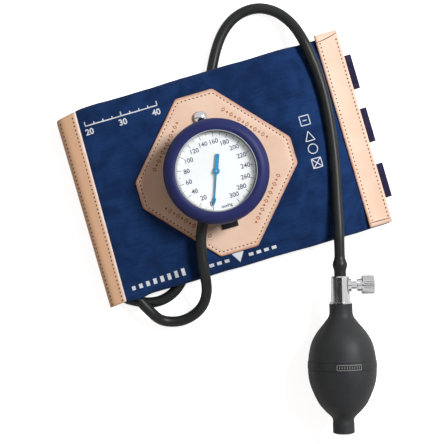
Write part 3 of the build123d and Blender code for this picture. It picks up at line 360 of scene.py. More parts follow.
def metal_group():
    """Machined or plated metal: fine turning lines, smudges and pinhead wear."""
    tree, given = node_group("Metal skin", {
        "Colour": BLACK, "Tarnish": BLACK, "Wear": 0.1, "Roughness": 0.1})
    smudge = spots(tree, 190.0, 4.0)
    worn = calculate(tree, "MULTIPLY", ramp(tree, smudge, 0.45, 0.75), given["Wear"])
    return put_out(tree, mixed(tree, worn, given["Colour"], given["Tarnish"]),
                   spots(tree, 1.0, 2.0, stretch=(3200, 3200, 240)),
                   calculate(tree, "ADD", given["Roughness"],
                             calculate(tree, "MULTIPLY", smudge, 0.10)))


GROUPS = {"weave": weave_group, "grain": grain_group, "moulded": moulded_group,
          "metal": metal_group}
made_groups = {}


def effect(tree, which, **inputs):
    """Places a shared group in a material with its own values."""
    if which not in made_groups:
        made_groups[which] = GROUPS[which]()
    node = tree.nodes.new("ShaderNodeGroup")
    node.node_tree = made_groups[which]
    set_inputs(tree, node, {label.replace("_", " "): value for label, value in inputs.items()})
    return node.outputs


# Materials

def rgba(colour):
    return (*colour, 1.0)


def new_material(name, **sockets):
    """A new material, its tree and its Principled shader."""
    material = bpy.data.materials.new(name)
    material.use_nodes = True
    tree = material.node_tree
    shader = tree.nodes["Principled BSDF"]
    for label, value in sockets.items():
        shader.inputs[label.replace("_", " ")].default_value = value
    return material, tree, shader


def wire(tree, shader, out, depth, colour=None):
    """Feeds a shader from a group's outputs, with the height as bumps of a real depth."""
    tree.links.new(out["Colour"] if colour is None else colour, shader.inputs["Base Color"])
    tree.links.new(out["Roughness"], shader.inputs["Roughness"])
    bump = add_node(tree, "Bump", {"Height": out["Height"], "Distance": depth, "Strength": 1.0})
    tree.links.new(bump.outputs[0], shader.inputs["Normal"])


def join_shaders(tree, kind, inputs):
    """Ends a material with two shaders joined."""
    join = add_node(tree, kind, inputs)
    tree.links.new(join.outputs[0], tree.nodes["Material Output"].inputs["Surface"])


def cloth_material(name, colour, shade, mottle=0.8, pitch=None, depth=0.00006):
    cuff = bpy.context.scene.cuff_settings
    material, tree, shader = new_material(name, Sheen_Weight=0.06, Sheen_Roughness=0.5,
                                          Specular_IOR_Level=0.1)
    out = effect(tree, "weave", Colour=rgba(colour), Shade=rgba(shade), Mottle=mottle,
                 Thread_Pitch=pitch or cuff.thread_pitch, Mottle_Size=cuff.mottle_size)
    wire(tree, shader, out, depth)
    return material


def leather_material(name, colour, deep, edge):
    """Leather whose colour turns to an edge colour where the mesh's edge mask is 1."""
    material, tree, shader = new_material(name, Specular_IOR_Level=0.2)
    out = effect(tree, "grain", Colour=rgba(colour), Deep=rgba(deep), Pore_Size=0.0011)
    mask = add_node(tree, "Attribute", attribute_name="edge").outputs["Fac"]
    broken = ramp(tree, spots(tree, 240.0, 4.0), 0.25, 0.7, 0.45, 1.0)
    amount = calculate(tree, "MULTIPLY", mask, broken)
    wire(tree, shader, out, 0.00005, mixed(tree, amount, out["Colour"], rgba(edge)))
    return material


def rubber_material(name, colour, roughness, dust=0.05, depth=0.00003, gloss=0.25):
    """Rubber, and any smooth enamel, ink or thread."""
    material, tree, shader = new_material(name, Specular_IOR_Level=gloss)
    wire(tree, shader, effect(tree, "moulded", Colour=rgba(colour), Dust=dust,
                              Roughness=roughness), depth)
    return material


def metal_material(name, colour, tarnish, roughness, wear=0.15):
    material, tree, shader = new_material(name, Metallic=1.0)
    wire(tree, shader, effect(tree, "metal", Colour=rgba(colour), Tarnish=rgba(tarnish),
                              Wear=wear, Roughness=roughness), 0.000004)
    return material


def lens_material(name):
    """Clear glass that lets the lamps through to the dial."""
    material, tree, shader = new_material(name, Transmission_Weight=1.0, IOR=1.18)
    smear = spots(tree, 90.0, 3.0)
    tree.links.new(ramp(tree, smear, 0.4, 0.8, 0.01, 0.05), shader.inputs["Roughness"])
    clear = add_node(tree, "BsdfTransparent")
    lamp_ray = add_node(tree, "LightPath").outputs["Is Shadow Ray"]
    join_shaders(tree, "MixShader", {0: lamp_ray, 1: shader.outputs[0], 2: clear.outputs[0]})
    return material


def finishes():
    """How each finish is made: its kind of material and that kind's values."""
    scene = bpy.context.scene
    cuff, leather, gauge = scene.cuff_settings, scene.leather_settings, scene.gauge_settings
    rubber, metal = scene.rubber_settings, scene.metal_settings
    enamel_bump = 0.000005
    return {
        "cuff_cloth": (cloth_material, cuff.cloth, cuff.cloth_shade),
        # A darker copy of the cuff cloth for the sides that lie underneath: painted shade
        "lining": (cloth_material, cuff.lining, cuff.cloth_shade, 0.5),
        "hook_tape": (cloth_material, (0.025, 0.027, 0.045), (0.01, 0.011, 0.02), 0.6,
                      0.0014, 0.0003),
        "webbing": (cloth_material, cuff.webbing, (0.012, 0.010, 0.035), 0.5, 0.0011, 0.00015),
        "edge_thread": (rubber_material, from_srgb(20, 40, 78), 0.75),
        "mark_print": (rubber_material, cuff.marks, 0.7, 0.02),
        "leather": (leather_material, leather.leather, leather.deep, leather.burnish),
        # The left strip: the same leather painted darker, as painted shade, because that strip is
        # lit less than the right one
        "pale_edge_leather": (leather_material, from_srgb(226, 184, 148), leather.deep,
                              leather.cut_edge),
        "thread": (rubber_material, leather.thread, 0.7),
        # Dark discs that stand for needle holes: painted shade
        "needle_hole": (rubber_material, leather.hole, 0.8),
        "tooling": (leather_material, from_srgb(204, 130, 82), from_srgb(180, 106, 62),
                    from_srgb(166, 94, 54)),
        "black_leather": (leather_material, (0.013, 0.013, 0.015), (0.006, 0.006, 0.007),
                          (0.02, 0.02, 0.02)),
        "hose_rubber": (rubber_material, rubber.hose, 0.38, 0.015),
        "bulb_rubber": (rubber_material, rubber.bulb, 0.5, 0.02),
        "frame_rubber": (rubber_material, from_srgb(140, 140, 140), 0.55),
        "inner_rubber": (rubber_material, (0.05, 0.05, 0.055), 0.6),
        "seal_rubber": (rubber_material, (0.012, 0.012, 0.012), 0.5),
        "pale_gasket": (rubber_material, gauge.dial, 0.5, 0.04),
        "ring_rubber": (rubber_material, gauge.ring, 0.45, 0.01, 0.00003, 0.2),
        "case_enamel": (rubber_material, gauge.case, 0.35, 0.02),
        "dial_enamel": (rubber_material, gauge.dial, 0.45, 0.01, enamel_bump),
        "dial_ink": (rubber_material, gauge.ink, 0.6, 0.02, enamel_bump),
        "pointer_enamel": (rubber_material, gauge.pointer, 0.35, 0.02, enamel_bump),
        "chrome": (metal_material, metal.chrome, from_srgb(170, 168, 164), metal.roughness),
        "brass": (metal_material, metal.brass, from_srgb(150, 110, 52), 0.26, 0.5),
        "steel": (metal_material, metal.steel, from_srgb(120, 122, 128), 0.3, 0.3),
        "bronze": (metal_material, metal.bronze, from_srgb(140, 88, 46), 0.3, 0.5),
        "lens_glass": (lens_material,),
    }


made_materials = {}


def finish(name):
    """The material of that name, made the first time that it is asked for."""
    if name not in made_materials:
        make, *values = finishes()[name]
        made_materials[name] = make(name, *values)
    return made_materials[name]


def dress(material, *nodes):
    """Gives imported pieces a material, in their objects' slots."""
    for name in nodes:
        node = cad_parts[name]
        if not node.material_slots:
            node.data.materials.append(None)
        for slot in node.material_slots:
            slot.link = "OBJECT"
            slot.material = finish(material)


# Making pieces

def spaced(low, high, count):
    """The ends and the even steps between them."""
    return [low + (high - low) * k / count for k in range(count + 1)]


def clamp(value):
    return max(0.0, min(1.0, value))


def ripple(x, y, fineness, seed):
    """A smooth uneven height, the same on each run."""
    return noise.noise(Vector((x * fineness, y * fineness, seed)))


def circle(middle, across, up, radius, count):
    """Points round a circle, from the way across towards the way up."""
    angles = [2 * math.pi * k / count for k in range(count)]
    return [middle + (across * math.cos(a) + up * math.sin(a)) * radius for a in angles]


def add_object(name, data):
    made = bpy.data.objects.new(name, data)
    bpy.context.scene.collection.objects.link(made)
    return made


class Skin:
    """Points and faces for one mesh, with the number of the material of each face."""

    def __init__(self, verts=(), faces=()):
        self.verts, self.faces = list(verts), list(faces)
        self.numbers = [0] * len(self.faces)

    def add_rings(self, rings, number=0, closed=False, open_end=False):
        """Joins rings of points into a tube with flat ends, or into one that meets itself."""
        start, size, rows = len(self.verts), len(rings[0]), len(rings)
        made = []
        for row in range(rows if closed else rows - 1):
            low, high = start + row * size, start + (row + 1) % rows * size
            for k in range(size):
                after = (k + 1) % size
                made.append((low + k, low + after, high + after, high + k))
        if not closed:
            made.append(tuple(range(start + size - 1, start - 1, -1)))
            if not open_end:
                made.append(tuple(range(start + (rows - 1) * size, start + rows * size)))
        for ring in rings:
            self.verts += ring
        self.faces += made
        self.numbers += [number] * len(made)

    def piece(self, name, body, slot, *materials, smooth=True):
        """The finished mesh, as a piece that rides on a body where one is named."""
        mesh = bpy.data.meshes.new(name)
        mesh.from_pydata([tuple(v) for v in self.verts], [], self.faces)
        for material in materials:
            mesh.materials.append(finish(material))
        if len(materials) > 1:
            mesh.polygons.foreach_set("material_index", self.numbers)
        mesh.polygons.foreach_set("use_smooth", [smooth] * len(mesh.polygons))
        mesh.update()
        made = add_object(name, mesh)
        if body:
            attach(made, body)
        return made


def set_edge_mask(piece, values):
    attribute = piece.data.attributes.new("edge", "FLOAT", "POINT")
    attribute.data.foreach_set("value", values)


def smooth_path(points, steps):
    """Points on a Catmull-Rom curve through some points."""
    points = [Vector(point) for point in points]
    ends = [2 * points[0] - points[1]] + points + [2 * points[-1] - points[-2]]
    found = []
    for a, b, c, d in zip(ends, ends[1:], ends[2:], ends[3:]):
        for k in range(steps):
            t = k / steps
            found.append(0.5 * (2 * b + (c - a) * t + (2 * a - 5 * b + 4 * c - d) * t * t
                                + (3 * b - a - 3 * c + d) * t ** 3))
    return found + [points[-1]]


def even_points(path, pitch, closed=False):
    """(point, direction) at even spacing along a path, and the spacing that fits it."""
    points = [Vector(p) for p in path] + ([Vector(path[0])] if closed else [])
    lengths = [(b - a).length for a, b in zip(points, points[1:])]
    count = max(2, round(sum(lengths) / pitch))
    step = sum(lengths) / count
    found, travelled, index = [], 0.0, 0
    for number in range(count if closed else count + 1):
        wanted = number * step
        while index < len(lengths) - 1 and travelled + lengths[index] < wanted:
            travelled += lengths[index]
            index += 1
        way = (points[index + 1] - points[index]).normalized()
        found.append((points[index] + way * (wanted - travelled), way))
    return found, step


# A stitch's rings, as (share of the pitch, height, width), and a needle hole's, as (height,
# width), in radii of the thread
STITCH_RINGS = ((0.02, -0.7, 0.5), (0.09, 0.1, 0.9), (0.21, 0.45, 1.0), (0.33, 0.1, 0.9),
                (0.40, -0.7, 0.5))
# The needle hole is a flat dark disc at the surface: painted shade in place of a hole
HOLE_RINGS = ((-0.4, 0.5), (0.06, 0.55), (0.10, 0.4))
STITCH_SLANT = 0.10
STITCH_SIDES, HOLE_SIDES = 6, 8


def stitches(name, path, body, slot, thread="thread", hole="needle_hole", closed=False,
             drop=0.0):
    """A row of sewn stitches on a path of (point, normal), with a dark disc between each, painted
    shade in place of a needle hole.
    """
    leather = bpy.context.scene.leather_settings
    radius = leather.stitch_r
    places = [Vector(point) for point, _ in path]
    normals = [Vector(normal) for _, normal in path]
    points, step = even_points(places, leather.stitch_pitch, closed)
    skin = Skin()
    for point, way in points[:None if closed else -1]:
        normal = normals[min(range(len(places)), key=lambda k: (places[k] - point).length_squared)]
        side = way.cross(normal).normalized()
        slant = way + side * STITCH_SLANT
        skin.add_rings([circle(point + slant * step * share + normal * (rise * radius - drop),
                               side, normal, radius * width, STITCH_SIDES)
                        for share, rise, width in STITCH_RINGS])
        skin.add_rings([circle(point + normal * (rise * radius - drop), way, side,
                               radius * width, HOLE_SIDES)
                        for rise, width in HOLE_RINGS], number=1)
    return skin.piece(name, body, slot, thread, hole)


def navy_stitches(name, path, body, drop):
    """Tone-on-tone stitches in the cuff's cloth."""
    return stitches(name, path, body, "navy_cloth", "edge_thread", "edge_thread", drop=drop)


def draw_in_corner(piece):
    """Pulls the cloth's top left corner in under the end of the leather strip."""
    for vertex in piece.data.vertices:
        co = vertex.co
        pull = 0.15 * max(0.0, -84 * MM - co.x) + 0.12 * max(0.0, -88 * MM - co.x)
        co.y -= pull * clamp((co.y - 30 * MM) / (40 * MM))


def surface_of(piece):
    """A finder of how high a piece reaches over (x, y), in the piece's own frame."""
    bpy.context.view_layer.update()
    tree = BVHTree.FromObject(piece, bpy.context.evaluated_depsgraph_get())
    above = 0.2

    def height(x, y, otherwise):
        hit = tree.ray_cast(Vector((x, y, above)), Vector((0, 0, -1)))[0]
        return hit.z if hit else otherwise
    return height


def slope_height(x, high, low):
    """Height of the S-shaped slope at the cuff's right end."""
    end = PANEL_HIGH.x
    half_run, half_drop = (end - SLOPE_START) / 2, (high - low) / 2
    bend = (half_run ** 2 + half_drop ** 2) / (2 * half_drop)
    if x <= SLOPE_START:
        return high
    if x <= SLOPE_START + half_run:
        return high - bend + math.sqrt(bend ** 2 - (x - SLOPE_START) ** 2)
    x = min(x, end)
    return low + bend - math.sqrt(bend ** 2 - (end - x) ** 2)


def panel_top(x):
    return slope_height(x, PANEL_HIGH.z, SLOPE_END_TOP)


def panel_bottom(x):
    return slope_height(x, SLOPE_BOTTOM_HIGH, BACK_LOW.z)


# Operators

class StudioOperator(bpy.types.Operator):
    """Set the camera, the lamps and the white table"""
    bl_idname = "cuff.studio"
    bl_label = "Camera, lamps and table"

    def execute(self, context):
        scene, studio = context.scene, context.scene.studio_settings
        camera = add_object("camera", bpy.data.cameras.new("camera"))
        camera.location = (studio.camera_x, studio.camera_y, studio.camera_height)
        camera.rotation_euler = (0, 0, studio.camera_roll)
        camera.data.lens = studio.lens
        camera.data.sensor_width = 36
        camera.data.clip_start = 0.01
        scene.camera = camera
        right = Vector((math.cos(studio.camera_roll), math.sin(studio.camera_roll), 0))
        up = Vector((-right.y, right.x, 0))

        def on_set(across, along, height):
            return right * across + up * along + Vector((0, 0, height))
        self.lamp("key_lamp", on_set(*KEY_PLACE), KEY_SIZE, studio.key_power)
        fill = self.lamp("fill_lamp", on_set(*FILL_PLACE), FILL_SIZE, studio.fill_power)
        fill.visible_glossy = False
        self.table(studio.table_glow)
        self.overhead_card(right, up)
        self.world(scene, studio)
        scene.view_settings.view_transform = "Standard"
        return {"FINISHED"}

    def world(self, scene, studio):
        """Even light, which the camera sees as white and shiny things as a bright room."""
        world = bpy.data.worlds.new("even_light")
        world.use_nodes = True
        tree = world.node_tree
        rays = add_node(tree, "LightPath").outputs
        mirrored = calculate(tree, "MAXIMUM", rays["Is Glossy Ray"], rays["Is Transmission Ray"])
        mirrored = calculate(tree, "MULTIPLY", mirrored, studio.room_strength)
        seen = calculate(tree, "MAXIMUM", rays["Is Camera Ray"], mirrored)
        set_inputs(tree, tree.nodes["Background"], {
            "Color": mixed(tree, ramp(tree, seen, 0, 0.1), rgba(studio.sky_colour),
                           (1, 1, 1, 1)),
            "Strength": calculate(tree, "MAXIMUM", seen, studio.sky_strength)})
        scene.world = world

    def lamp(self, name, place, size, power):
        light = bpy.data.lights.new(name, "AREA")
        light.energy, light.size, light.shape = power, size, "DISK"
        lamp = add_object(name, light)
        lamp.location = place
        lamp.rotation_euler = (-place).to_track_quat("-Z", "Y").to_euler()
        return lamp

    def sheet(self, name, places, faces, material):
        """A flat thing on the set, which isn't part of the object."""
        mesh = bpy.data.meshes.new(name)
        mesh.from_pydata([tuple(place) for place in places], [], faces)
        mesh.materials.append(material)
        made = add_object(name, mesh)
        return made

    def table(self, glow):
        """A white table top that keeps soft shadows and reads as white."""
        material, tree, shader = new_material("table_white", Roughness=0.9)
        paper = spots(tree, 30.0)
        tree.links.new(mixed(tree, paper, (0.93, 0.93, 0.93, 1), (0.96, 0.96, 0.96, 1)),
                       shader.inputs["Base Color"])
        rays = add_node(tree, "LightPath").outputs
        seen = calculate(tree, "MAXIMUM", rays["Is Camera Ray"], rays["Is Transmission Ray"])
        shine = add_node(tree, "Emission", {
            "Color": (1, 1, 1, 1), "Strength": calculate(tree, "MULTIPLY", seen, glow)})
        join_shaders(tree, "AddShader", {0: shader.outputs[0], 1: shine.outputs[0]})
        half, z = 3.0, -0.3 * MM
        self.sheet("table", [(-half, -half, z), (half, -half, z), (half, half, z),
                             (-half, half, z)], [(0, 1, 2, 3)], material)

    def overhead_card(self, right, up):
        """A dark card over the set, seen only in reflections, as a studio uses one."""
        material, tree, shader = new_material("card_black", Roughness=0.9)
        speck = add_node(tree, "TexNoise", {"Scale": 20.0}).outputs[0]
        tree.links.new(mixed(tree, speck, (0.004, 0.004, 0.004, 1), (0.012, 0.012, 0.012, 1)),
                       shader.inputs["Base Color"])
        middle, half_width = BULB_MOUTH + up * -0.06, 0.17
        left, near, low, high = -1.5, 0.36, 0.02, 1.3
        bends = ((left, low), (left, high), (near, high))
        places = [middle + right * a + up * b + Vector((0, 0, c))
                  for a, c in bends for b in (-half_width, half_width)]
        card = self.sheet("overhead_card", places, [(0, 1, 3, 2), (2, 3, 5, 4)], material)
        card.visible_camera = card.visible_diffuse = card.visible_shadow = False
        card.visible_transmission = False


class HosesOperator(bpy.types.Operator):
    """Lay the two rubber hoses along their routes"""
    bl_idname = "cuff.hoses"
    bl_label = "Hoses"

    def execute(self, context):
        rubber = context.scene.rubber_settings
        self.hose("gauge_hose_rubber", GAUGE_HOSE_ROUTE, "gauge_hose", GAUGE_HOSE_LENGTH, rubber)
        self.hose("bulb_hose_rubber", BULB_HOSE_ROUTE, "bulb_hose", BULB_HOSE_LENGTH, rubber)
        dress("hose_rubber", "hose_end_sleeve", "bladder_elbow", "bladder_nipple")
        return {"FINISHED"}

    def hose(self, name, route, node, length, rubber):
        curve = bpy.data.curves.new(name, "CURVE")
        curve.dimensions = "3D"
        spline = curve.splines.new("NURBS")
        spline.points.add(len(route) - 1)
        for point, place in zip(spline.points, route):
            point.co = (*(value * MM for value in place), 1)
        spline.order_u = 3
        spline.use_endpoint_u = True
        spline.resolution_u = 16
        curve.bevel_depth = rubber.hose_diameter / 2
        curve.bevel_resolution = 9
        curve.use_fill_caps = True
        curve.materials.append(finish("hose_rubber"))
        piece = add_object(name, curve)
        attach(piece, MAIN)
        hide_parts(node)
        [value * MM for value in route[0]]


def pad_mesh(low, high, step, top, bottom, edge):
    """A closed pad: an even grid above and below that meet in a seam all round."""
    nx, ny = (max(4, round((high[n] - low[n]) / step)) for n in (0, 1))
    wide, deep = high[0] - low[0], high[1] - low[1]
    verts, faces, above, below = [], [], {}, {}
    for i in range(nx + 1):
        for j in range(ny + 1):
            x, y = low[0] + wide * i / nx, low[1] + deep * j / ny
            inset = min(i, nx - i) * wide / nx, min(j, ny - j) * deep / ny
            full = min(math.sqrt(1 - (1 - min(1.0, d / edge)) ** 2) for d in inset)
            middle, half = (top(x) + bottom(x)) / 2, (top(x) - bottom(x)) / 2
            above[i, j] = len(verts)
            verts.append(Vector((x, y, middle + half * full)))
            if i in (0, nx) or j in (0, ny):
                below[i, j] = above[i, j]
            else:
                below[i, j] = len(verts)
                verts.append(Vector((x, y, middle - half * full)))
    for i in range(nx):
        for j in range(ny):
            faces.append((above[i, j], above[i + 1, j], above[i + 1, j + 1], above[i, j + 1]))
            faces.append((below[i, j], below[i, j + 1], below[i + 1, j + 1], below[i + 1, j]))
    seam = sorted({above[key] for key in above if below[key] == above[key]})
    return verts, faces, seam


def puff_out(piece, seam, pressure, limit):
    """Fills a pad as cloth under pressure, holding its seam, and caps how far a point moves."""
    scene = bpy.context.scene
    rest = [v.co.copy() for v in piece.data.vertices]
    held = piece.vertex_groups.new(name="seam")
    held.add(seam, 1.0, "REPLACE")
    cloth = piece.modifiers.new("cloth", "CLOTH")
    settings = cloth.settings
    settings.quality = 5
    settings.mass = 0.15
    settings.tension_stiffness = settings.compression_stiffness = 12
    settings.bending_stiffness = 0.15
    settings.use_pressure = True
    settings.uniform_pressure_force = pressure
    settings.shrink_min = -0.035
    settings.effector_weights.gravity = 0
    settings.vertex_group_mass = "seam"
    frames = range(1, 21)
    cloth.point_cache.frame_start, cloth.point_cache.frame_end = frames[0], frames[-1]
    for number in frames:
        scene.frame_set(number)
    graph = bpy.context.evaluated_depsgraph_get()
    moved = [v.co.copy() for v in piece.evaluated_get(graph).data.vertices]
    piece.modifiers.remove(cloth)
    piece.vertex_groups.clear()
    scene.frame_set(frames[0])
    for vertex, before, after in zip(piece.data.vertices, rest, moved):
        step = after - before
        if step.length > limit:
            step *= limit * (1 + 0.25 * (1 - limit / step.length)) / step.length
        vertex.co = before + step
    piece.data.update()


def in_patch(x, y, margin):
    """True where the leather patch covers the cuff."""
    half_x, half_y = PATCH_HIGH.x + margin, PATCH_HIGH.y + margin
    if abs(x) > half_x or abs(y) > half_y:
        return False
    rise = (PATCH_HIGH.y - PATCH_SIDE) / (PATCH_HIGH.x - PATCH_END)
    return abs(y) - PATCH_SIDE <= (half_x - abs(x)) * rise + margin * 0.4


class CuffOperator(bpy.types.Operator):
    """Sew and fill the cuff's padded panel, and put the flat bladder inside it"""
    bl_idname = "cuff.panel"
    bl_label = "Cuff panel and bladder"

    def execute(self, context):
        cuff = context.scene.cuff_settings
        low, high = PANEL_LOW.xy, PANEL_HIGH.xy
        verts, faces, seam = pad_mesh(low, high, cuff.cloth_step, panel_top, panel_bottom,
                                      edge=3.4 * MM)
        for v in verts:
            edge = min(v.y - low.y, high.y - v.y, v.x - low.x, high.x - v.x)
            v.z += ripple(v.x, v.y, 34, 3.1) * min(edge / (8 * MM), 1.0) * 0.30 * MM
            if edge < 0.5 * MM and v.x < high.x - MM:
                v.y += noise.noise(Vector((v.x * 40, 7.7, 0))) * 0.5 * MM
        skin = Skin(verts, faces)
        skin.numbers = [k % 2 for k in range(len(faces))]
        panel = skin.piece("cuff_panel", MAIN, "navy_cloth", "cuff_cloth", "lining")
        puff_out(panel, seam, cuff.puff, cuff.puff_limit)
        self.flatten(panel)
        self.cover_fitting(panel, low.y)
        draw_in_corner(panel)
        subdivide(panel)
        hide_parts("cuff_front_cover", "cuff_back_cover")
        self.bladder()
        self.edge_seam(panel)
        return {"FINISHED"}

    def flatten(self, panel):
        """Keeps the filled cloth under the leather, and off what lies beneath it."""
        for vertex in panel.data.vertices:
            co = vertex.co
            roof, floor = panel_top(co.x), panel_bottom(co.x)
            if co.z <= (roof + floor) / 2:
                co.z = max(co.z, floor - 0.25 * MM)
            elif (in_patch(co.x, co.y, 1.5 * MM) or co.x < STRIP_HIGH.x + MM
                  or co.x > EDGE_LOW.x - 1.5 * MM):
                co.z = min(co.z, roof - 0.12 * MM)

    def cover_fitting(self, panel, low_y):
        """Draws the cloth's lower edge out and up over the gauge hose's fitting."""
        port_x = GAUGE_HOSE_ROUTE[-1][0] * MM - 1.2 * MM
        reach_x, reach_y, lift, out = 11 * MM, 12 * MM, 2.6 * MM, 2.4 * MM
        for vertex in panel.data.vertices:
            co = vertex.co
            near = (max(0.0, 1 - abs(co.x - port_x) / reach_x)
                    * max(0.0, 1 - (co.y - low_y) / reach_y))
            near = near * near * (3 - 2 * near)
            if co.z > (panel_top(co.x) + panel_bottom(co.x)) / 2 - 0.4 * MM:
                co.z += lift * near
                co.y -= out * near

    def bladder(self):
        low, high = corners("bladder")
        inset = Vector((3, 3, 0)) * MM
        verts, faces, _ = pad_mesh(low + inset, high - inset, step=6 * MM, edge=6 * MM,
                                   top=lambda x: high.z, bottom=lambda x: low.z)
        piece = Skin(verts, faces).piece("flat_bladder", MAIN, "bladder_rubber", "inner_rubber")
        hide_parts("bladder")

    def edge_seam(self, panel):
        """Tone-on-tone stitching along the cuff's two long edges."""
        height = surface_of(panel)
        for number, y in enumerate((PANEL_LOW.y + 3.2 * MM, PANEL_HIGH.y - 3.2 * MM)):
            path = [(Vector((x, y, height(x, y, PANEL_HIGH.z))), (0, 0, 1))
                    for x in spaced(STRIP_HIGH.x + 2 * MM, EDGE_LOW.x - 2 * MM, 89)]
            navy_stitches(f"edge_seam_{number}", path, MAIN, drop=0.12 * MM)


def subdivide(piece):
    """Splits each face in four and smooths the mesh, once and for all."""
    modifier = piece.modifiers.new("smooth", "SUBSURF")
    modifier.levels = modifier.render_levels = 1
    graph = bpy.context.evaluated_depsgraph_get()
    mesh = bpy.data.meshes.new_from_object(piece.evaluated_get(graph))
    piece.modifiers.remove(modifier)
    piece.data = mesh


RIBBON_ROWS = 60


def ribbon(name, section, low_y, high_y, body, slot, *materials, wave, seed):
    """A rippled sheet whose closed section of (x, z) points is carried across the cuff."""
    skin = Skin()
    skin.add_rings([[Vector((x, y, z + ripple(x, y, 60, seed) * wave)) for x, z in section]
                    for y in spaced(low_y, high_y, RIBBON_ROWS)])
    return skin.piece(name, body, slot, *materials)


ROUND_STEPS = 4


def thick_line(path, thickness):
    """A closed outline of even thickness round a path of (a, b) points, with round ends."""
    points = [Vector((a, b)) for a, b in path]
    ways = []
    for k in range(len(points)):
        before, after = points[max(k - 1, 0)], points[min(k + 1, len(points) - 1)]
        ways.append((after - before).normalized())
    half = thickness / 2
    left = [p + Vector((-w.y, w.x)) * half for p, w in zip(points, ways)]
    right = [p - Vector((-w.y, w.x)) * half for p, w in zip(points, ways)]

    def cap(middle, way):
        across = Vector((-way.y, way.x))
        angles = spaced(0.0, math.pi, ROUND_STEPS)[1:-1]
        return [middle + (across * math.cos(a) + way * math.sin(a)) * half for a in angles]
    outline = left + cap(points[-1], ways[-1]) + right[::-1] + cap(points[0], -ways[0])
    return [(p.x, p.y) for p in outline]


def flat_path(points, steps):
    """A smooth path through points given in millimetres, as (a, b) pairs in metres."""
    return [(p.x, p.y) for p in smooth_path([Vector(point) * MM for point in points], steps)]


class FoldOperator(bpy.types.Operator):
    """Fold the cuff's free end under it"""
    bl_idname = "cuff.fold"
    bl_label = "Fold and tail"

    def execute(self, context):
        bend = [(-103.0, 12.3), (-103.4, 11.0), (-104.3, 9.4), (-104.9, 7.6), (-105.0, 5.8),
                (-104.8, 4.0), (-104.3, 2.5)]
        fold = self.cloth("fold_cloth", flat_path(bend, 4), "cuff_cloth", wave=0.25 * MM,
                          seed=2.0)
        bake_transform(fold)
        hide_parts("fold_spine")
        self.tail()
        return {"FINISHED"}

    def cloth(self, name, path, material, wave, seed):
        """One thickness of cloth across the cuff, with its corner drawn in."""
        piece = ribbon(name, thick_line(path, CLOTH_THICK), TAIL_LOW.y, TAIL_HIGH.y, None,
                       "navy_cloth", material, wave=wave, seed=seed)
        draw_in_corner(piece)
        return piece

    def tail(self):
        turn = [(-104.35, 2.9), (-104.0, 1.9), (-103.2, 1.15), (-101.8, 0.85), (-98.0, 0.8)]
        path = flat_path(turn, 4)
        path += [(x, 0.8 * MM) for x in spaced(path[-1][0], TAIL_HIGH.x - 1.0 * MM, 56)[1:]]
        # The tail takes the darker cloth: painted shade under the cuff
        tail = self.cloth("tail_cloth", path, "lining", wave=0.12 * MM, seed=5.0)
        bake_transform(tail)
        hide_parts("tail_panel")
        for number, y in enumerate((TAIL_LOW.y + 3 * MM, TAIL_HIGH.y - 3 * MM)):
            row = [(Vector((x * MM, y, 1.45 * MM)), (0, 0, 1))
                   for x in range(-96 if y < 0 else -84, 109, 4)]
            navy_stitches(f"tail_seam_{number}", row, TAIL, drop=0.1 * MM)


class ClosureOperator(bpy.types.Operator):
    """Make the hook pad and the three closure loops at the tail's end"""
    bl_idname = "cuff.closure"
    bl_label = "Hook pad and closure loops"

    def execute(self, context):
        low, high = corners("closure_tabs")
        half, rows = 13.35 * MM, 20
        line = [(x, (low.z + high.z) / 2) for x in spaced(low.x, high.x - 0.4 * MM, 24)]
        section = thick_line(line, WEBBING_THICK)
        skin = Skin()
        for number, middle in enumerate((high.y - half, 3.0 * MM, low.y + half)):
            rings = []
            for row, y in enumerate(spaced(middle - half, middle + half, rows)):
                edge = -0.15 * MM if row in (0, rows) else 0.0
                rings.append([Vector((x, y, z + edge + 0.2 * MM * ripple(x, y, 70, number)
                                      * (x - low.x) / (high.x - low.x))) for x, z in section])
            skin.add_rings(rings)
        loops = skin.piece("closure_webbing", TAIL, "violet_webbing", "webbing")
        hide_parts("closure_tabs")
        self.hooks()
        return {"FINISHED"}

    def hooks(self):
        """The hook tape as a base with rows of short stubs."""
        low, high = corners("hook_pad")
        base = [(low.x, low.z - 0.1 * MM), (high.x, low.z - 0.1 * MM),
                (high.x, low.z + 0.35 * MM), (high.x - 0.3 * MM, low.z + 0.45 * MM),
                (low.x + 0.3 * MM, low.z + 0.45 * MM), (low.x, low.z + 0.35 * MM)]
        skin = Skin()
        skin.add_rings([[Vector((x, y, z)) for x, z in base] for y in (low.y, high.y)])
        step, lean = 2.0 * MM, 0.3
        square = ((-1, -1), (1, -1), (1, 1), (-1, 1))
        seeded = random.Random(4)
        x = low.x + step
        while x < high.x - step / 2:
            y = low.y + step
            while y < high.y - step / 2:
                tip = Vector((seeded.uniform(-lean, lean), seeded.uniform(-lean, lean), 0)) * MM
                skin.add_rings([
                    [Vector((x + a * half * MM, y + b * half * MM, low.z + height * MM)) + shift
                     for a, b in square]
                    for height, half, shift in ((0.4, 0.28, Vector()), (0.78, 0.18, tip))])
                y += step
            x += step
        tape = skin.piece("hook_tape", TAIL, "hook_tape", "hook_tape", smooth=False)
        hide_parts("hook_pad")


